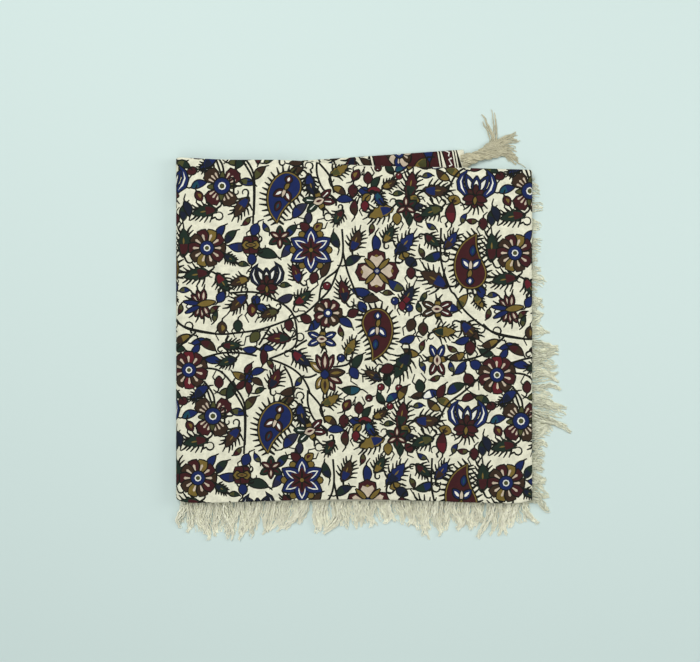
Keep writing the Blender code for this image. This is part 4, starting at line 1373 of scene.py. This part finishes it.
class Nodes:
    """Adds nodes to a tree."""

    def __init__(self, tree):
        self.tree = tree

    def feed(self, node, inputs):
        """Give the inputs of a node their values, or link the sockets that feed them."""
        for name, value in inputs.items():
            if isinstance(value, bpy.types.NodeSocket):
                self.tree.links.new(value, node.inputs[name])
            else:
                node.inputs[name].default_value = value

    def add(self, kind, inputs=None, **settings):
        """Add a node with its settings and inputs, and give its outputs."""
        node = self.tree.nodes.new(kind)
        for name, value in settings.items():
            setattr(node, name, value)
        self.feed(node, inputs or {})
        return node.outputs

    def math(self, operation, *inputs):
        """What a sum over numbers and sockets comes to."""
        return self.add("ShaderNodeMath", dict(enumerate(inputs)), operation=operation)[0]

    def vectors(self, operation, first, second=None):
        """What a sum over vectors comes to, or a vector scaled by a number."""
        inputs = {0: first}
        if second is not None:
            inputs["Scale" if operation == "SCALE" else 1] = second
        return self.add("ShaderNodeVectorMath", inputs, operation=operation)[0]

    def noise(self, place, scale, detail, roughness=0.5):
        """The outputs of a noise over a place."""
        inputs = {"Vector": place, "Scale": scale, "Detail": detail, "Roughness": roughness}
        return self.add("ShaderNodeTexNoise", inputs)

    def spread(self, value, low, high, to_low, to_high):
        """A value carried over from one span to another."""
        inputs = {"Value": value, "From Min": low, "From Max": high, "To Min": to_low, "To Max": to_high}
        return self.add("ShaderNodeMapRange", inputs)[0]


# Weave of the cotton: thread spacing drawn as coarse as it needs to show, painted highlight and shade of the
# threads, and unevenness of the dyes
THREAD_SPACING = 1.3 * MM
THREAD_PAINTED_SHADING = 0.04
THREAD_DEPTH = 0.2 * MM
BUMP_STRENGTH = 0.5
DYE_PATCH = 7 * MM
DYE_GRAIN = 1.6 * MM
# From and to which noise each kind of unevenness runs, and the shades that it comes to
PATCH_SPREAD = (0.3, 0.7, 0.86, 1.12)
GRAIN_SPREAD = (0.25, 0.75, 0.9, 1.1)
# Yarn: length of its lighter and darker stretches, and their shades
YARN_PATCH = 5 * MM
YARN_SHADES = ((0.3, 0.84), (0.7, 1.06))


def new_material(name, roughness, gloss):
    """A matt material: itself, its nodes and its shader."""
    material = bpy.data.materials.new(name)
    material.use_nodes = True
    nodes = Nodes(material.node_tree)
    shader = material.node_tree.nodes["Principled BSDF"]
    nodes.feed(shader, {"Roughness": roughness, "Specular IOR Level": gloss})
    return material, nodes, shader


def cotton_material():
    """Hand-printed plain-woven cotton: matt, with threads across and along, painted highlight and shade on
    the threads, and dye that took unevenly.
    """
    material, nodes, shader = new_material("hand-printed cotton", roughness=0.88, gloss=0.25)
    place = nodes.add("ShaderNodeUVMap", uv_map="flat")["UV"]
    dye = nodes.add("ShaderNodeAttribute", attribute_name="dye")["Color"]
    parts = nodes.add("ShaderNodeSeparateXYZ", {0: place})
    turns = [nodes.math("MULTIPLY", parts[axis], math.tau / THREAD_SPACING) for axis in ("X", "Y")]
    weave = nodes.math("MULTIPLY", nodes.math("SINE", turns[0]), nodes.math("SINE", turns[1]))
    patch = nodes.noise(place, 1 / DYE_PATCH, detail=2.0, roughness=0.6)["Fac"]
    grain = nodes.noise(place, 1 / DYE_GRAIN, detail=3.0, roughness=0.7)["Fac"]
    shade = nodes.math("MULTIPLY", nodes.spread(patch, *PATCH_SPREAD), nodes.spread(grain, *GRAIN_SPREAD))
    # The weave lightens and darkens the colour a little: painted highlight and shade along the threads
    shade = nodes.math("MULTIPLY", shade, nodes.math("MULTIPLY_ADD", weave, THREAD_PAINTED_SHADING, 1.0))
    height = nodes.math("MULTIPLY_ADD", weave, 0.5, grain)
    inputs = {"Strength": BUMP_STRENGTH, "Distance": THREAD_DEPTH, "Height": height}
    bump = nodes.add("ShaderNodeBump", inputs)["Normal"]
    nodes.feed(shader, {"Base Color": nodes.vectors("SCALE", dye, shade), "Normal": bump})
    return material


def yarn_material(name, colour):
    """Loose cotton yarn: undyed, matt and softly uneven from yarn to yarn."""
    material, nodes, shader = new_material(name, roughness=0.9, gloss=0.2)
    place = nodes.add("ShaderNodeTexCoord")["Object"]
    patch = nodes.noise(place, 1 / YARN_PATCH, detail=3.0, roughness=0.6)["Fac"]
    tone = nodes.add("ShaderNodeValToRGB", {"Fac": patch})["Color"]
    for element, (position, shade) in zip(tone.node.color_ramp.elements, YARN_SHADES):
        element.position = position
        element.color = [min(value * shade, 1.0) for value in linear(colour)[:3]] + [1.0]
    nodes.feed(shader, {"Base Color": tone})
    return material


def add_object(name, data):
    """An object of a mesh, a light or a camera, in the scene."""
    item = bpy.data.objects.new(name, data)
    bpy.context.scene.collection.objects.link(item)
    return item


# Yarns: sides, the spread of their waves' starts, their drift and its length, and how much their lengths vary
YARN_SIDES = 3
PHASE_SPREAD = 3.0
DRIFT_SEEDS = 9
DRIFT_LENGTH = 9 * MM
DRIFT_REACH = 5.0
LENGTH_SPREAD = 0.35
# What the yarns' nodes take: name and kind of socket
YARN_INPUTS = [
    ("Geometry", "Geometry"),
    ("Yarns", "Int"),
    ("Yarn Radius", "Float"),
    ("Wave Length", "Float"),
    ("Shortest Share", "Float"),
    ("Material", "Material"),
]


def per_yarn(nodes, low, high, seed):
    """A chance number for each yarn."""
    inputs = {"ID": nodes.add("GeometryNodeInputIndex")[0], "Seed": seed}
    outputs = nodes.add("FunctionNodeRandomValue", inputs, data_type="FLOAT")
    number = next(socket for socket in outputs if socket.type == "VALUE" and socket.enabled)
    for socket in number.node.inputs:
        if socket.type == "VALUE" and socket.name in ("Min", "Max"):
            socket.default_value = low if socket.name == "Min" else high
    return nodes.add("GeometryNodeFieldOnDomain", {0: number}, data_type="FLOAT", domain="CURVE")[0]


def yarn_tree():
    """Geometry Nodes: copies each guide line as many yarns, spread round it, waved and given thickness."""
    tree = bpy.data.node_groups.new("yarns along guides", "GeometryNodeTree")
    for name, kind in YARN_INPUTS:
        tree.interface.new_socket(name, in_out="INPUT", socket_type="NodeSocket" + kind)
    tree.interface.new_socket("Geometry", in_out="OUTPUT", socket_type="NodeSocketGeometry")
    nodes = Nodes(tree)
    source = nodes.add("NodeGroupInput")

    def stored(name):
        """An attribute of the guide."""
        inputs = {"Name": name}
        return nodes.add("GeometryNodeInputNamedAttribute", inputs, data_type="FLOAT")["Attribute"]

    def product(*factors):
        """Factors multiplied from left to right."""
        result = factors[0]
        for factor in factors[1:]:
            result = nodes.math("MULTIPLY", result, factor)
        return result

    line = nodes.add("GeometryNodeMeshToCurve", {0: source["Geometry"]})[0]
    inputs = {"Geometry": line, "Amount": source["Yarns"]}
    copies = nodes.add("GeometryNodeDuplicateElements", inputs, domain="SPLINE")[0]

    # Place of each yarn round its guide, and its regular wave
    angle = nodes.math("ADD", per_yarn(nodes, 0.0, math.tau, 1), stored("twist"))
    radius = nodes.math("SQRT", per_yarn(nodes, 0.0, 1.0, 2))
    length = nodes.add("GeometryNodeSplineParameter")["Length"]
    phase = nodes.math("DIVIDE", length, source["Wave Length"])
    phase = nodes.math("ADD", phase, per_yarn(nodes, 0.0, PHASE_SPREAD, 3))
    swing = nodes.math("SINE", product(phase, math.tau))
    across = product(nodes.math("COSINE", angle), radius, stored("spread"))
    across = nodes.math("ADD", across, product(swing, stored("wave")))
    upward = product(nodes.math("SINE", angle), radius, stored("rise"))
    side = nodes.vectors("CROSS_PRODUCT", nodes.add("GeometryNodeInputTangent")[0], (0, 0, 1))
    side = nodes.vectors("SCALE", nodes.vectors("NORMALIZE", side), across)
    offset = nodes.vectors("ADD", side, nodes.add("ShaderNodeCombineXYZ", {"Z": upward})[0])

    # Uneven drift of each yarn
    own = {"X": per_yarn(nodes, 0, DRIFT_SEEDS, 4), "Y": per_yarn(nodes, 0, DRIFT_SEEDS, 5)}
    place = nodes.vectors("SCALE", nodes.add("GeometryNodeInputPosition")[0], 1 / DRIFT_LENGTH)
    place = nodes.vectors("ADD", place, nodes.add("ShaderNodeCombineXYZ", own)[0])
    drift = nodes.vectors("SUBTRACT", nodes.noise(place, 1.0, detail=1.0)["Color"], (0.5, 0.5, 0.5))
    drift = nodes.vectors("SCALE", drift, product(stored("wave"), DRIFT_REACH))
    inputs = {"Geometry": copies, "Offset": nodes.vectors("ADD", offset, drift)}
    waved = nodes.add("GeometryNodeSetPosition", inputs)[0]

    # Nothing goes under the floor
    now = nodes.add("ShaderNodeSeparateXYZ", {0: nodes.add("GeometryNodeInputPosition")[0]})
    held = nodes.math("MAXIMUM", now["Z"], source["Yarn Radius"])
    on_floor = nodes.add("ShaderNodeCombineXYZ", {"X": now["X"], "Y": now["Y"], "Z": held})[0]
    laid = nodes.add("GeometryNodeSetPosition", {"Geometry": waved, "Position": on_floor})[0]

    # Uneven lengths, thickness and material
    share = nodes.math("ADD", source["Shortest Share"], per_yarn(nodes, 0.0, LENGTH_SPREAD, 6))
    cut = nodes.add("GeometryNodeTrimCurve", {"Curve": laid}, mode="FACTOR")[0]
    end = next(socket for socket in cut.node.inputs if socket.name == "End" and socket.enabled)
    tree.links.new(nodes.math("MINIMUM", share, 1.0), end)
    inputs = {"Resolution": YARN_SIDES, "Radius": source["Yarn Radius"]}
    profile = nodes.add("GeometryNodeCurvePrimitiveCircle", inputs, mode="RADIUS")[0]
    inputs = {"Curve": cut, "Profile Curve": profile, "Fill Caps": True}
    tube = nodes.add("GeometryNodeRealizeInstances", {0: nodes.add("GeometryNodeCurveToMesh", inputs)[0]})[0]
    inputs = {"Geometry": tube, "Material": source["Material"]}
    nodes.add("NodeGroupOutput", {0: nodes.add("GeometryNodeSetMaterial", inputs)[0]})
    return tree


def make_yarns(name, guides, values):
    """A plain mesh of the yarns along guides, which are rows of point, spread, rise, wave and twist."""
    edges = []
    first = 0
    for guide in guides:
        edges += [(first + index, first + index + 1) for index in range(len(guide) - 1)]
        first += len(guide)
    rows = [row for guide in guides for row in guide]
    mesh = bpy.data.meshes.new(name + " guides")
    mesh.from_pydata([row[0] for row in rows], edges, [])
    for column, key in enumerate(("spread", "rise", "wave", "twist"), 1):
        attribute = mesh.attributes.new(key, "FLOAT", "POINT")
        attribute.data.foreach_set("value", [row[column] for row in rows])
    guide_item = add_object(name + " guides", mesh)
    modifier = guide_item.modifiers.new("yarns", "NODES")
    modifier.node_group = yarn_tree()
    named = dict(zip([name for name, _ in YARN_INPUTS[1:]], values))
    for socket in modifier.node_group.interface.items_tree:
        if socket.in_out == "INPUT" and socket.name in named:
            modifier[socket.identifier] = named[socket.name]
    evaluated = guide_item.evaluated_get(bpy.context.evaluated_depsgraph_get())
    result = bpy.data.meshes.new_from_object(evaluated)
    result.name = name
    bpy.data.objects.remove(guide_item, do_unlink=True)
    if not len(result.polygons):
        raise RuntimeError(name + " has no yarns")
    return add_object(name, result)


# Locks of the front fringe: x, reach in front of the fold, lean to the right
FRONT_LOCKS = in_mm(
    (-166, 28, -5), (-150, 36, 5), (-110, 36, 2), (-82, 35, -3), (-50, 29, -7), (-20, 34, 1), (10, 30, 4),
    (40, 26, 5), (76, 39, 7), (96, 27, 0), (118, 31, -4), (138, 35, -3), (168, 22, 9),
)
# Locks of the side fringe: y, x of the tips, lean to the back
SIDE_LOCKS = in_mm(
    (-156, 189, -8), (-140, 184, -12), (-126, 182, -2), (-108, 186, -1), (-90, 190, -8),
    (-74, 216, -22), (-62, 198, -12), (-46, 198, -2), (-20, 198, 1), (10, 184, -3),
    (60, 182, -5), (120, 179, -3), (146, 177, -2),
)
# Head of the corner tassel, a rope of some plies: x, y, half width, height
TASSEL_HEAD = in_mm(
    (104.0, 163.2, 6.4, 6.4), (110.4, 164.8, 6.0, 7.0), (115.5, 166.4, 5.2, 7.6),
    (121.5, 168.6, 5.6, 7.0), (129.5, 171.8, 7.2, 5.4), (136.0, 175.4, 9.2, 3.4),
)
PLIES = 3
HEAD_TURNS = 1.6
HEAD_STEPS = 20
# Tassel strands: tip x, tip y, share of the way that they run straight out, how many side by side
TASSEL_STRANDS = [
    (164.0 * MM, 160.5 * MM, 0.25, 4),
    (157.0 * MM, 165.5 * MM, 0.30, 5),
    (156.0 * MM, 171.0 * MM, 0.35, 6),
    (155.5 * MM, 177.5 * MM, 0.40, 6),
    (157.5 * MM, 185.0 * MM, 0.45, 6),
    (157.5 * MM, 191.5 * MM, 0.50, 4),
    (133.0 * MM, 215.0 * MM, 0.20, 1),
    (128.0 * MM, 211.5 * MM, 0.14, 1),
    (121.5 * MM, 209.5 * MM, 0.10, 1),
]

# Shape of one lock, as shares: the way down to the floor, thickness and width, and where its waves are full
FALL_SHARE = 0.35
ROOT_THICKNESS = 0.35
THICK_SHIFT = 0.15
ROOT_WIDTH = 0.8
MORE_WIDTH = 0.35
TIP_LESS_WIDTH = 0.4
FULL_WAVES = 3


def lock_guide(root, tip, lean, swing, root_height, spread, thickness, wave, points):
    """Guide of one lock: from its root down to the floor and out to its tip, leaning and swinging."""
    rows = []
    way = tip - root
    across = Vector((-way.y, way.x, 0)).normalized()
    reach, turns, start = swing
    for index in range(points):
        share = index / (points - 1)
        sway = reach * share * math.sin(math.tau * (turns * share + start))
        place = root + way * share + lean * (share * share) + across * sway
        drop = min(share / FALL_SHARE, 1.0)
        eased = drop * drop * (3 - 2 * drop)
        thickest = math.sin(math.pi * min(share + THICK_SHIFT, 1.0))
        rise = thickness * (ROOT_THICKNESS + (1 - ROOT_THICKNESS) * thickest) / 2
        place.z = root_height * (1 - eased) + rise * eased
        width = spread * (ROOT_WIDTH + MORE_WIDTH * math.sin(math.pi * share))
        width *= 1 - TIP_LESS_WIDTH * share * share
        rows.append((place, width / 2, rise, wave * min(share * FULL_WAVES, 1.0), 0.0))
    return rows


# Chances of every fringe, from and to, in mm: at the root, and the spread of a loose lock
ROOT_JITTER = (-2, 2)
LOOSE_SPREAD = (5, 8)
# Chances of a loose lock in front, from and to: tip, aside and swing in mm, turns, shares of reach and height
FRONT_TIP = (-4, 4)
FRONT_ASIDE = (-12, 12)
FRONT_SWING = (2.5, 6.0)
FRONT_TURNS = (0.6, 1.2)
FRONT_REACH = (0.84, 1.06)
FRONT_HEIGHT = (0.7, 1.0)
# Front fringe: from which x and how far, how far in its roots lie, and how much of its lean a lock takes
FRONT_START = LEFT + 5 * MM
FRONT_WIDTH = RIGHT - LEFT - 8 * MM
FRONT_INSET = 4 * MM
FRONT_LEAN = 0.6
FRONT_THICKNESS = 5.4 * MM
# Straight locks in front: shares of reach and height, spread in mm and thickness
STRAIGHT_REACH = 0.82
STRAIGHT_HEIGHT = 0.4
STRAIGHT_SPREAD = 17
STRAIGHT_THICKNESS = 2.4 * MM
# Points of a guide, and its yarns' waves and shortest share
FRONT_POINTS = 20
FRONT_WAVE = 7 * MM
FRONT_SHORTEST = 0.72
FRONT_SEED = 3


def make_front_fringe(settings, material):
    """Locks of yarn along the front fold: short straight ones below, loose curling ones on top."""
    chance = random.Random(FRONT_SEED)
    reaches = [(x, reach) for x, reach, _ in FRONT_LOCKS]
    leans = [(x, lean) for x, _, lean in FRONT_LOCKS]
    guides = []
    for count, loose in ((settings.front_locks // 2, False), (settings.front_locks, True)):
        for index in range(count):
            x = FRONT_START + FRONT_WIDTH * (index + 0.5) / count + chance.uniform(*ROOT_JITTER) * MM
            fold = along(FRONT_FOLD, x)
            reach = along(reaches, x) * (chance.uniform(*FRONT_REACH) if loose else STRAIGHT_REACH)
            root = Vector((x, fold + FRONT_INSET, 0))
            tip = Vector((x + chance.uniform(*FRONT_TIP) * MM, fold - reach, 0))
            aside = chance.uniform(*FRONT_ASIDE) * MM if loose else 0.0
            lean = Vector((along(leans, x) * FRONT_LEAN + aside, 0, 0))
            reach_aside = chance.uniform(*FRONT_SWING) * MM * loose
            swing = (reach_aside, chance.uniform(*FRONT_TURNS), chance.random())
            height = (TOP_LEVEL - PACK) * (chance.uniform(*FRONT_HEIGHT) if loose else STRAIGHT_HEIGHT)
            spread = (chance.uniform(*LOOSE_SPREAD) if loose else STRAIGHT_SPREAD) * MM
            thickness = FRONT_THICKNESS if loose else STRAIGHT_THICKNESS
            shape = (height, spread, thickness, settings.wave, FRONT_POINTS)
            guides.append(lock_guide(root, tip, lean, swing, *shape))
    values = (settings.front_yarns, settings.yarn_radius, FRONT_WAVE, FRONT_SHORTEST, material)
    return make_yarns("front_fringe_yarns", guides, values)


# Chances of a loose lock at the side, from and to: tip, way aside and swing in mm, turns, and shares of reach
SIDE_TIP = (-3, 3)
SIDE_ASIDE = (-8, 8)
SIDE_SWING = (1.5, 4)
SIDE_TURNS = (0.7, 1.4)
SIDE_REACH = (0.86, 1.05)
# Side fringe: from which y and how far, how far in and how high its roots lie, and its lean and thickness
SIDE_START = -163 * MM
SIDE_WIDTH = 312 * MM
SIDE_INSET = 2 * MM
SIDE_HEIGHT = 2.4 * MM
SIDE_LEAN = 0.8
SIDE_THICKNESS = 4.4 * MM
# The y behind which it is a thin even row, and what that row and the straight locks have
THIN_ROW = 45 * MM
THIN_REACH = 0.84
THIN_SPREAD = 18
THIN_THICKNESS = 2.2 * MM
SIDE_POINTS = 24
SIDE_WAVE = 8 * MM
SIDE_SHORTEST = 0.76
SIDE_SEED = 5


def make_side_fringe(settings, material):
    """Locks of yarn along the side hem, out from under the right fold."""
    chance = random.Random(SIDE_SEED)
    ends = [(y, end) for y, end, _ in SIDE_LOCKS]
    leans = [(y, lean) for y, _, lean in SIDE_LOCKS]
    guides = []
    for count, loose in ((settings.side_locks // 2, False), (settings.side_locks, True)):
        for index in range(count):
            y = SIDE_START + SIDE_WIDTH * (index + 0.5) / count + chance.uniform(*ROOT_JITTER) * MM
            start = along(SIDE_HEM, y)
            reach = chance.uniform(*SIDE_REACH) if loose else THIN_REACH
            end = start + (along(ends, y) - start) * reach
            root = Vector((start - SIDE_INSET, y, 0))
            tip = Vector((end, y + chance.uniform(*SIDE_TIP) * MM, 0))
            aside = chance.uniform(*SIDE_ASIDE) * MM if loose else 0.0
            lean = Vector((0, along(leans, y) * SIDE_LEAN + aside, 0))
            reach_aside = chance.uniform(*SIDE_SWING) * MM * loose
            swing = (reach_aside, chance.uniform(*SIDE_TURNS), chance.random())
            thick = loose and y < THIN_ROW
            spread = (chance.uniform(*LOOSE_SPREAD) if thick else THIN_SPREAD) * MM
            thickness = SIDE_THICKNESS if thick else THIN_THICKNESS
            shape = (SIDE_HEIGHT, spread, thickness, settings.wave, SIDE_POINTS)
            guides.append(lock_guide(root, tip, lean, swing, *shape))
    values = (settings.side_yarns, settings.yarn_radius, SIDE_WAVE, SIDE_SHORTEST, material)
    return make_yarns("side_fringe_yarns", guides, values)


# Corner tassel: its way, the steps of a strand, its height and spread, and its yarns' waves and lengths
TASSEL_WAY = math.radians(32)
STRAND_STEPS = 12
STRAND_HEIGHT = 2.6 * MM
STRAND_TIP = 1.0 * MM
STRAND_SPREAD = 2.8 * MM
STRAND_TAPER = 0.35
STRAND_TWIST = 2
ROOTS_APART = 1.5
# Chances of a strand's tip in x and y, from and to, in mm
TIP_JITTER_X = (-7, 5)
TIP_JITTER_Y = (-4, 1)
# One ply of the head: how far from its middle, and its yarns' spread, as shares of width and height
PLY_RADIUS = (0.5, 0.25)
PLY_SPREAD = (0.55, 0.25)
HEAD_WAVE = 0.1 * MM
TASSEL_WAVE = 10 * MM
TASSEL_SHORTEST = 0.7
TASSEL_SEED = 9


def make_corner_tassel(settings, material):
    """Twisted yarns at the hem's back corner, which fan out into loose strands."""
    guides = []
    first, last = TASSEL_HEAD[0], TASSEL_HEAD[-1]
    head_rows = [[(row[0], row[column]) for row in TASSEL_HEAD] for column in (1, 2, 3)]
    outward = Vector((math.cos(TASSEL_WAY), math.sin(TASSEL_WAY), 0))
    sideways = Vector((-outward.y, outward.x, 0))
    chance = random.Random(TASSEL_SEED)
    strands = [strand[:3] for strand in TASSEL_STRANDS for _ in range(strand[3])]
    for index, (tip_x, tip_y, out_share) in enumerate(strands):
        rows = []
        for step in range(HEAD_STEPS):
            x = first[0] + (last[0] - first[0]) * step / HEAD_STEPS
            y, half_width, height = (along(column, x) for column in head_rows)
            angle = math.tau * (index / PLIES + HEAD_TURNS * step / HEAD_STEPS)
            place = Vector((x, y, height * (0.5 + PLY_RADIUS[1] * math.sin(angle))))
            place += sideways * (PLY_RADIUS[0] * half_width * math.cos(angle))
            rows.append((place, PLY_SPREAD[0] * half_width, PLY_SPREAD[1] * height, HEAD_WAVE, 0.0))
        share_across = index / (len(strands) - 1) - 0.5
        root = Vector((last[0], last[1], 0)) + sideways * (last[2] * ROOTS_APART * share_across)
        tip_x += chance.uniform(*TIP_JITTER_X) * MM
        tip_y += chance.uniform(*TIP_JITTER_Y) * MM
        tip = Vector((tip_x, tip_y, 0))
        middle = root + outward * ((tip - root).length * out_share)
        for step in range(STRAND_STEPS):
            share = (step + 0.5) / STRAND_STEPS
            place = root.lerp(middle, share).lerp(middle.lerp(tip, share), share)
            height = STRAND_HEIGHT * (1 - share) + STRAND_TIP
            place.z = height / 2
            spread = STRAND_SPREAD * (1 - STRAND_TAPER * share)
            rows.append((place, spread, height / 2, settings.wave * share, STRAND_TWIST * share))
        guides.append(rows)
    values = (settings.tassel_yarns, settings.yarn_radius, TASSEL_WAVE, TASSEL_SHORTEST, material)
    return make_yarns("corner_tassel_yarns", guides, values)


class ClothSettings(bpy.types.PropertyGroup):
    """Thickness and dyes of the cloth"""

    thickness: bpy.props.FloatProperty(
        name="Thickness", description="Thickness of the cloth", default=0.55 * MM, min=0.3 * MM, unit="LENGTH"
    )
    ground: bpy.props.StringProperty(name="Ground", description="Undyed cotton, sRGB hex", default="DAD8C0")
    black: bpy.props.StringProperty(name="Outline", description="Iron black, sRGB hex", default="0F110B")
    blue: bpy.props.StringProperty(name="Indigo", description="Indigo blue, sRGB hex", default="122150")
    navy: bpy.props.StringProperty(name="Dark indigo", description="Deep indigo, sRGB hex", default="12192A")
    teal: bpy.props.StringProperty(name="Teal", description="Blue over yellow, sRGB hex", default="14404E")
    maroon: bpy.props.StringProperty(name="Madder", description="Madder maroon, sRGB hex", default="3A1517")
    red: bpy.props.StringProperty(name="Red", description="Madder red, sRGB hex", default="56161E")
    brown: bpy.props.StringProperty(name="Walnut", description="Walnut brown, sRGB hex", default="322317")
    ochre: bpy.props.StringProperty(name="Ochre", description="Pomegranate ochre, sRGB hex", default="6E5C29")
    olive: bpy.props.StringProperty(name="Olive", description="Olive over ochre, sRGB hex", default="434423")
    green: bpy.props.StringProperty(name="Green", description="Dark green, sRGB hex", default="18281E")
    purple: bpy.props.StringProperty(name="Purple", description="Dark purple, sRGB hex", default="242438")
    petal: bpy.props.StringProperty(name="Petal", description="Pale pink cream, sRGB hex", default="BBAC96")
    hem: bpy.props.StringProperty(name="Hem", description="Plain hem, sRGB hex", default="DCDAC2")
    back: bpy.props.StringProperty(name="Back", description="Back of the cloth, sRGB hex", default="CFCBB4")
    white: bpy.props.StringProperty(name="White", description="Undyed reserve, sRGB hex", default="DCDCCF")


class FringeSettings(bpy.types.PropertyGroup):
    """Locks, yarns and colour of the fringe"""

    front_locks: bpy.props.IntProperty(name="Front Locks", description="Loose locks in front", default=54)
    side_locks: bpy.props.IntProperty(name="Side Locks", description="Loose locks at the side", default=44)
    front_yarns: bpy.props.IntProperty(name="Front Yarns", description="Yarns in a front lock", default=17)
    side_yarns: bpy.props.IntProperty(name="Side Yarns", description="Yarns in a side lock", default=17)
    tassel_yarns: bpy.props.IntProperty(name="Tassel Yarns", description="Yarns in a strand", default=6)
    yarn_radius: bpy.props.FloatProperty(
        name="Yarn Radius", description="Half the thickness of a yarn", default=0.42 * MM, unit="LENGTH"
    )
    wave: bpy.props.FloatProperty(
        name="Wave", description="How far a yarn swings aside", default=0.6 * MM, unit="LENGTH"
    )
    colour: bpy.props.StringProperty(name="Yarn", description="Undyed yarn, sRGB hex", default="FBF9E2")
    # The side yarn is the same undyed yarn as the front one, its colour darker: painted shade on the side
    # fringe
    side_shaded_colour: bpy.props.StringProperty(name="Side", description="Side yarn, sRGB hex", default="E6E7CF")
    # The tassel yarn is the same undyed yarn, its colour darker: painted shade on the twisted head and its
    # strands
    tassel_shaded_colour: bpy.props.StringProperty(
        name="Tassel", description="Tassel yarn, sRGB hex", default="CBC6A9"
    )


class StageSettings(bpy.types.PropertyGroup):
    """Floor and camera"""

    floor: bpy.props.StringProperty(name="Floor", description="Pale floor, sRGB hex", default="C8D9D4")
    camera_height: bpy.props.FloatProperty(
        name="Camera Height", description="Above the top face", default=0.95, unit="LENGTH"
    )


class MakeCloth(bpy.types.Operator):
    """Make the folded printed cloth"""

    bl_idname = "folded_panel.make_cloth"
    bl_label = "Make Cloth"

    def execute(self, context):
        settings = context.scene.panel_cloth
        colours = [linear(getattr(settings, dye)) for dye in DYES]
        mesh = make_cloth_mesh("printed_cloth", settings.thickness, colours)
        mesh.materials.append(cotton_material())
        add_object("printed_cloth", mesh)
        return {"FINISHED"}


class MakeFringe(bpy.types.Operator):
    """Make the fringe yarns and the corner tassel"""

    bl_idname = "folded_panel.make_fringe"
    bl_label = "Make Fringe"

    def execute(self, context):
        settings = context.scene.panel_fringe
        for maker, node, colour in (
            (make_front_fringe, "front_fringe", settings.colour),
            (make_side_fringe, "side_fringe", settings.side_shaded_colour),
            (make_corner_tassel, "corner_tassel", settings.tassel_shaded_colour),
        ):
            # The side and tassel yarns take darker colours of the same undyed yarn: painted shade
            piece = maker(settings, yarn_material(node.replace("_", " ") + " cotton yarn", colour))
            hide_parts(node)
            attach(piece, "root")
        return {"FINISHED"}


class DeclareCloth(bpy.types.Operator):
    """Say what the cloth replaces and rides on"""

    bl_idname = "folded_panel.declare_cloth"
    bl_label = "Declare Cloth"

    def execute(self, context):
        cloth = bpy.data.objects["printed_cloth"]
        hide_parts("printed_panel")
        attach(cloth, "root")
        return {"FINISHED"}


# Camera: how wide the view is at the top face, how far its middle is from the cloth's, and its sensor in mm
VIEW_WIDTH = 665 * MM
VIEW_SHIFT_X = -3.8 * MM
SENSOR_WIDTH = 36.0
# Half the floor's side, and its roughness
FLOOR_HALF = 6.0
FLOOR_ROUGHNESS = 0.8
# Light of the room, and the lights: name, place, watts, size
ROOM_COLOUR = (0.93, 0.97, 1.0, 1.0)
ROOM_STRENGTH = 0.34
LIGHTS = (
    ("window light", (-0.40, 0.6, 1.4), 17.0, 1.0),
    ("side light", (1.2, 0.2, 0.7), 5.5, 0.6),
    ("front light", (0.1, -0.8, 1.4), 3.5, 1.0),
)


class MakeStage(bpy.types.Operator):
    """Make the floor, the lights and the camera"""

    bl_idname = "folded_panel.make_stage"
    bl_label = "Make Stage"

    def execute(self, context):
        settings = context.scene.panel_stage
        scene = context.scene
        corners = [(x * FLOOR_HALF, y * FLOOR_HALF, 0) for x, y in ((-1, -1), (1, -1), (1, 1), (-1, 1))]
        mesh = bpy.data.meshes.new("floor")
        mesh.from_pydata(corners, [], [(0, 1, 2, 3)])
        floor = add_object("floor", mesh)
        material, nodes, shader = new_material("pale matt floor", roughness=FLOOR_ROUGHNESS, gloss=0.5)
        nodes.feed(shader, {"Base Color": linear(settings.floor)})
        mesh.materials.append(material)

        scene.view_settings.view_transform = "Standard"
        scene.world = bpy.data.worlds.new("soft room light")
        scene.world.use_nodes = True
        background = scene.world.node_tree.nodes["Background"]
        Nodes(scene.world.node_tree).feed(background, {"Color": ROOM_COLOUR, "Strength": ROOM_STRENGTH})
        for name, place, energy, size in LIGHTS:
            light = bpy.data.lights.new(name, "AREA")
            light.energy = energy
            light.size = size
            item = add_object(name, light)
            item.location = place
            item.rotation_euler = (-Vector(place)).to_track_quat("-Z", "Y").to_euler()

        camera = bpy.data.cameras.new("camera")
        camera.sensor_width = SENSOR_WIDTH
        camera.lens = camera.sensor_width * settings.camera_height / VIEW_WIDTH
        scene.camera = add_object("camera", camera)
        scene.camera.location = (VIEW_SHIFT_X, 0.0, TOP_LEVEL + settings.camera_height)
        return {"FINISHED"}


class FoldedPanelPanel(bpy.types.Panel):
    """Settings and steps of the folded panel"""

    bl_idname = "VIEW3D_PT_folded_panel"
    bl_label = "Folded Panel"
    bl_space_type = "VIEW_3D"
    bl_region_type = "UI"
    bl_category = "Folded Panel"

    def draw(self, context):
        for group in (context.scene.panel_cloth, context.scene.panel_fringe, context.scene.panel_stage):
            box = self.layout.box()
            for name in group.__annotations__:
                box.prop(group, name)
        for operator in OPERATORS:
            self.layout.operator(operator.bl_idname)


OPERATORS = (MakeStage, MakeCloth, MakeFringe, DeclareCloth)
CLASSES = (ClothSettings, FringeSettings, StageSettings) + OPERATORS + (FoldedPanelPanel,)


def register():
    """Register the classes and their settings."""
    for item in CLASSES:
        bpy.utils.register_class(item)
    bpy.types.Scene.panel_cloth = bpy.props.PointerProperty(type=ClothSettings)
    bpy.types.Scene.panel_fringe = bpy.props.PointerProperty(type=FringeSettings)
    bpy.types.Scene.panel_stage = bpy.props.PointerProperty(type=StageSettings)


def unregister():
    """Remove the classes and their settings."""
    del bpy.types.Scene.panel_stage
    del bpy.types.Scene.panel_fringe
    del bpy.types.Scene.panel_cloth
    for item in reversed(CLASSES):
        bpy.utils.unregister_class(item)


def main():
    """Make everything in order."""
    register()
    bpy.ops.folded_panel.make_stage()
    bpy.ops.folded_panel.make_cloth()
    bpy.ops.folded_panel.make_fringe()
    bpy.ops.folded_panel.declare_cloth()


if __name__ == "__main__":
    main()
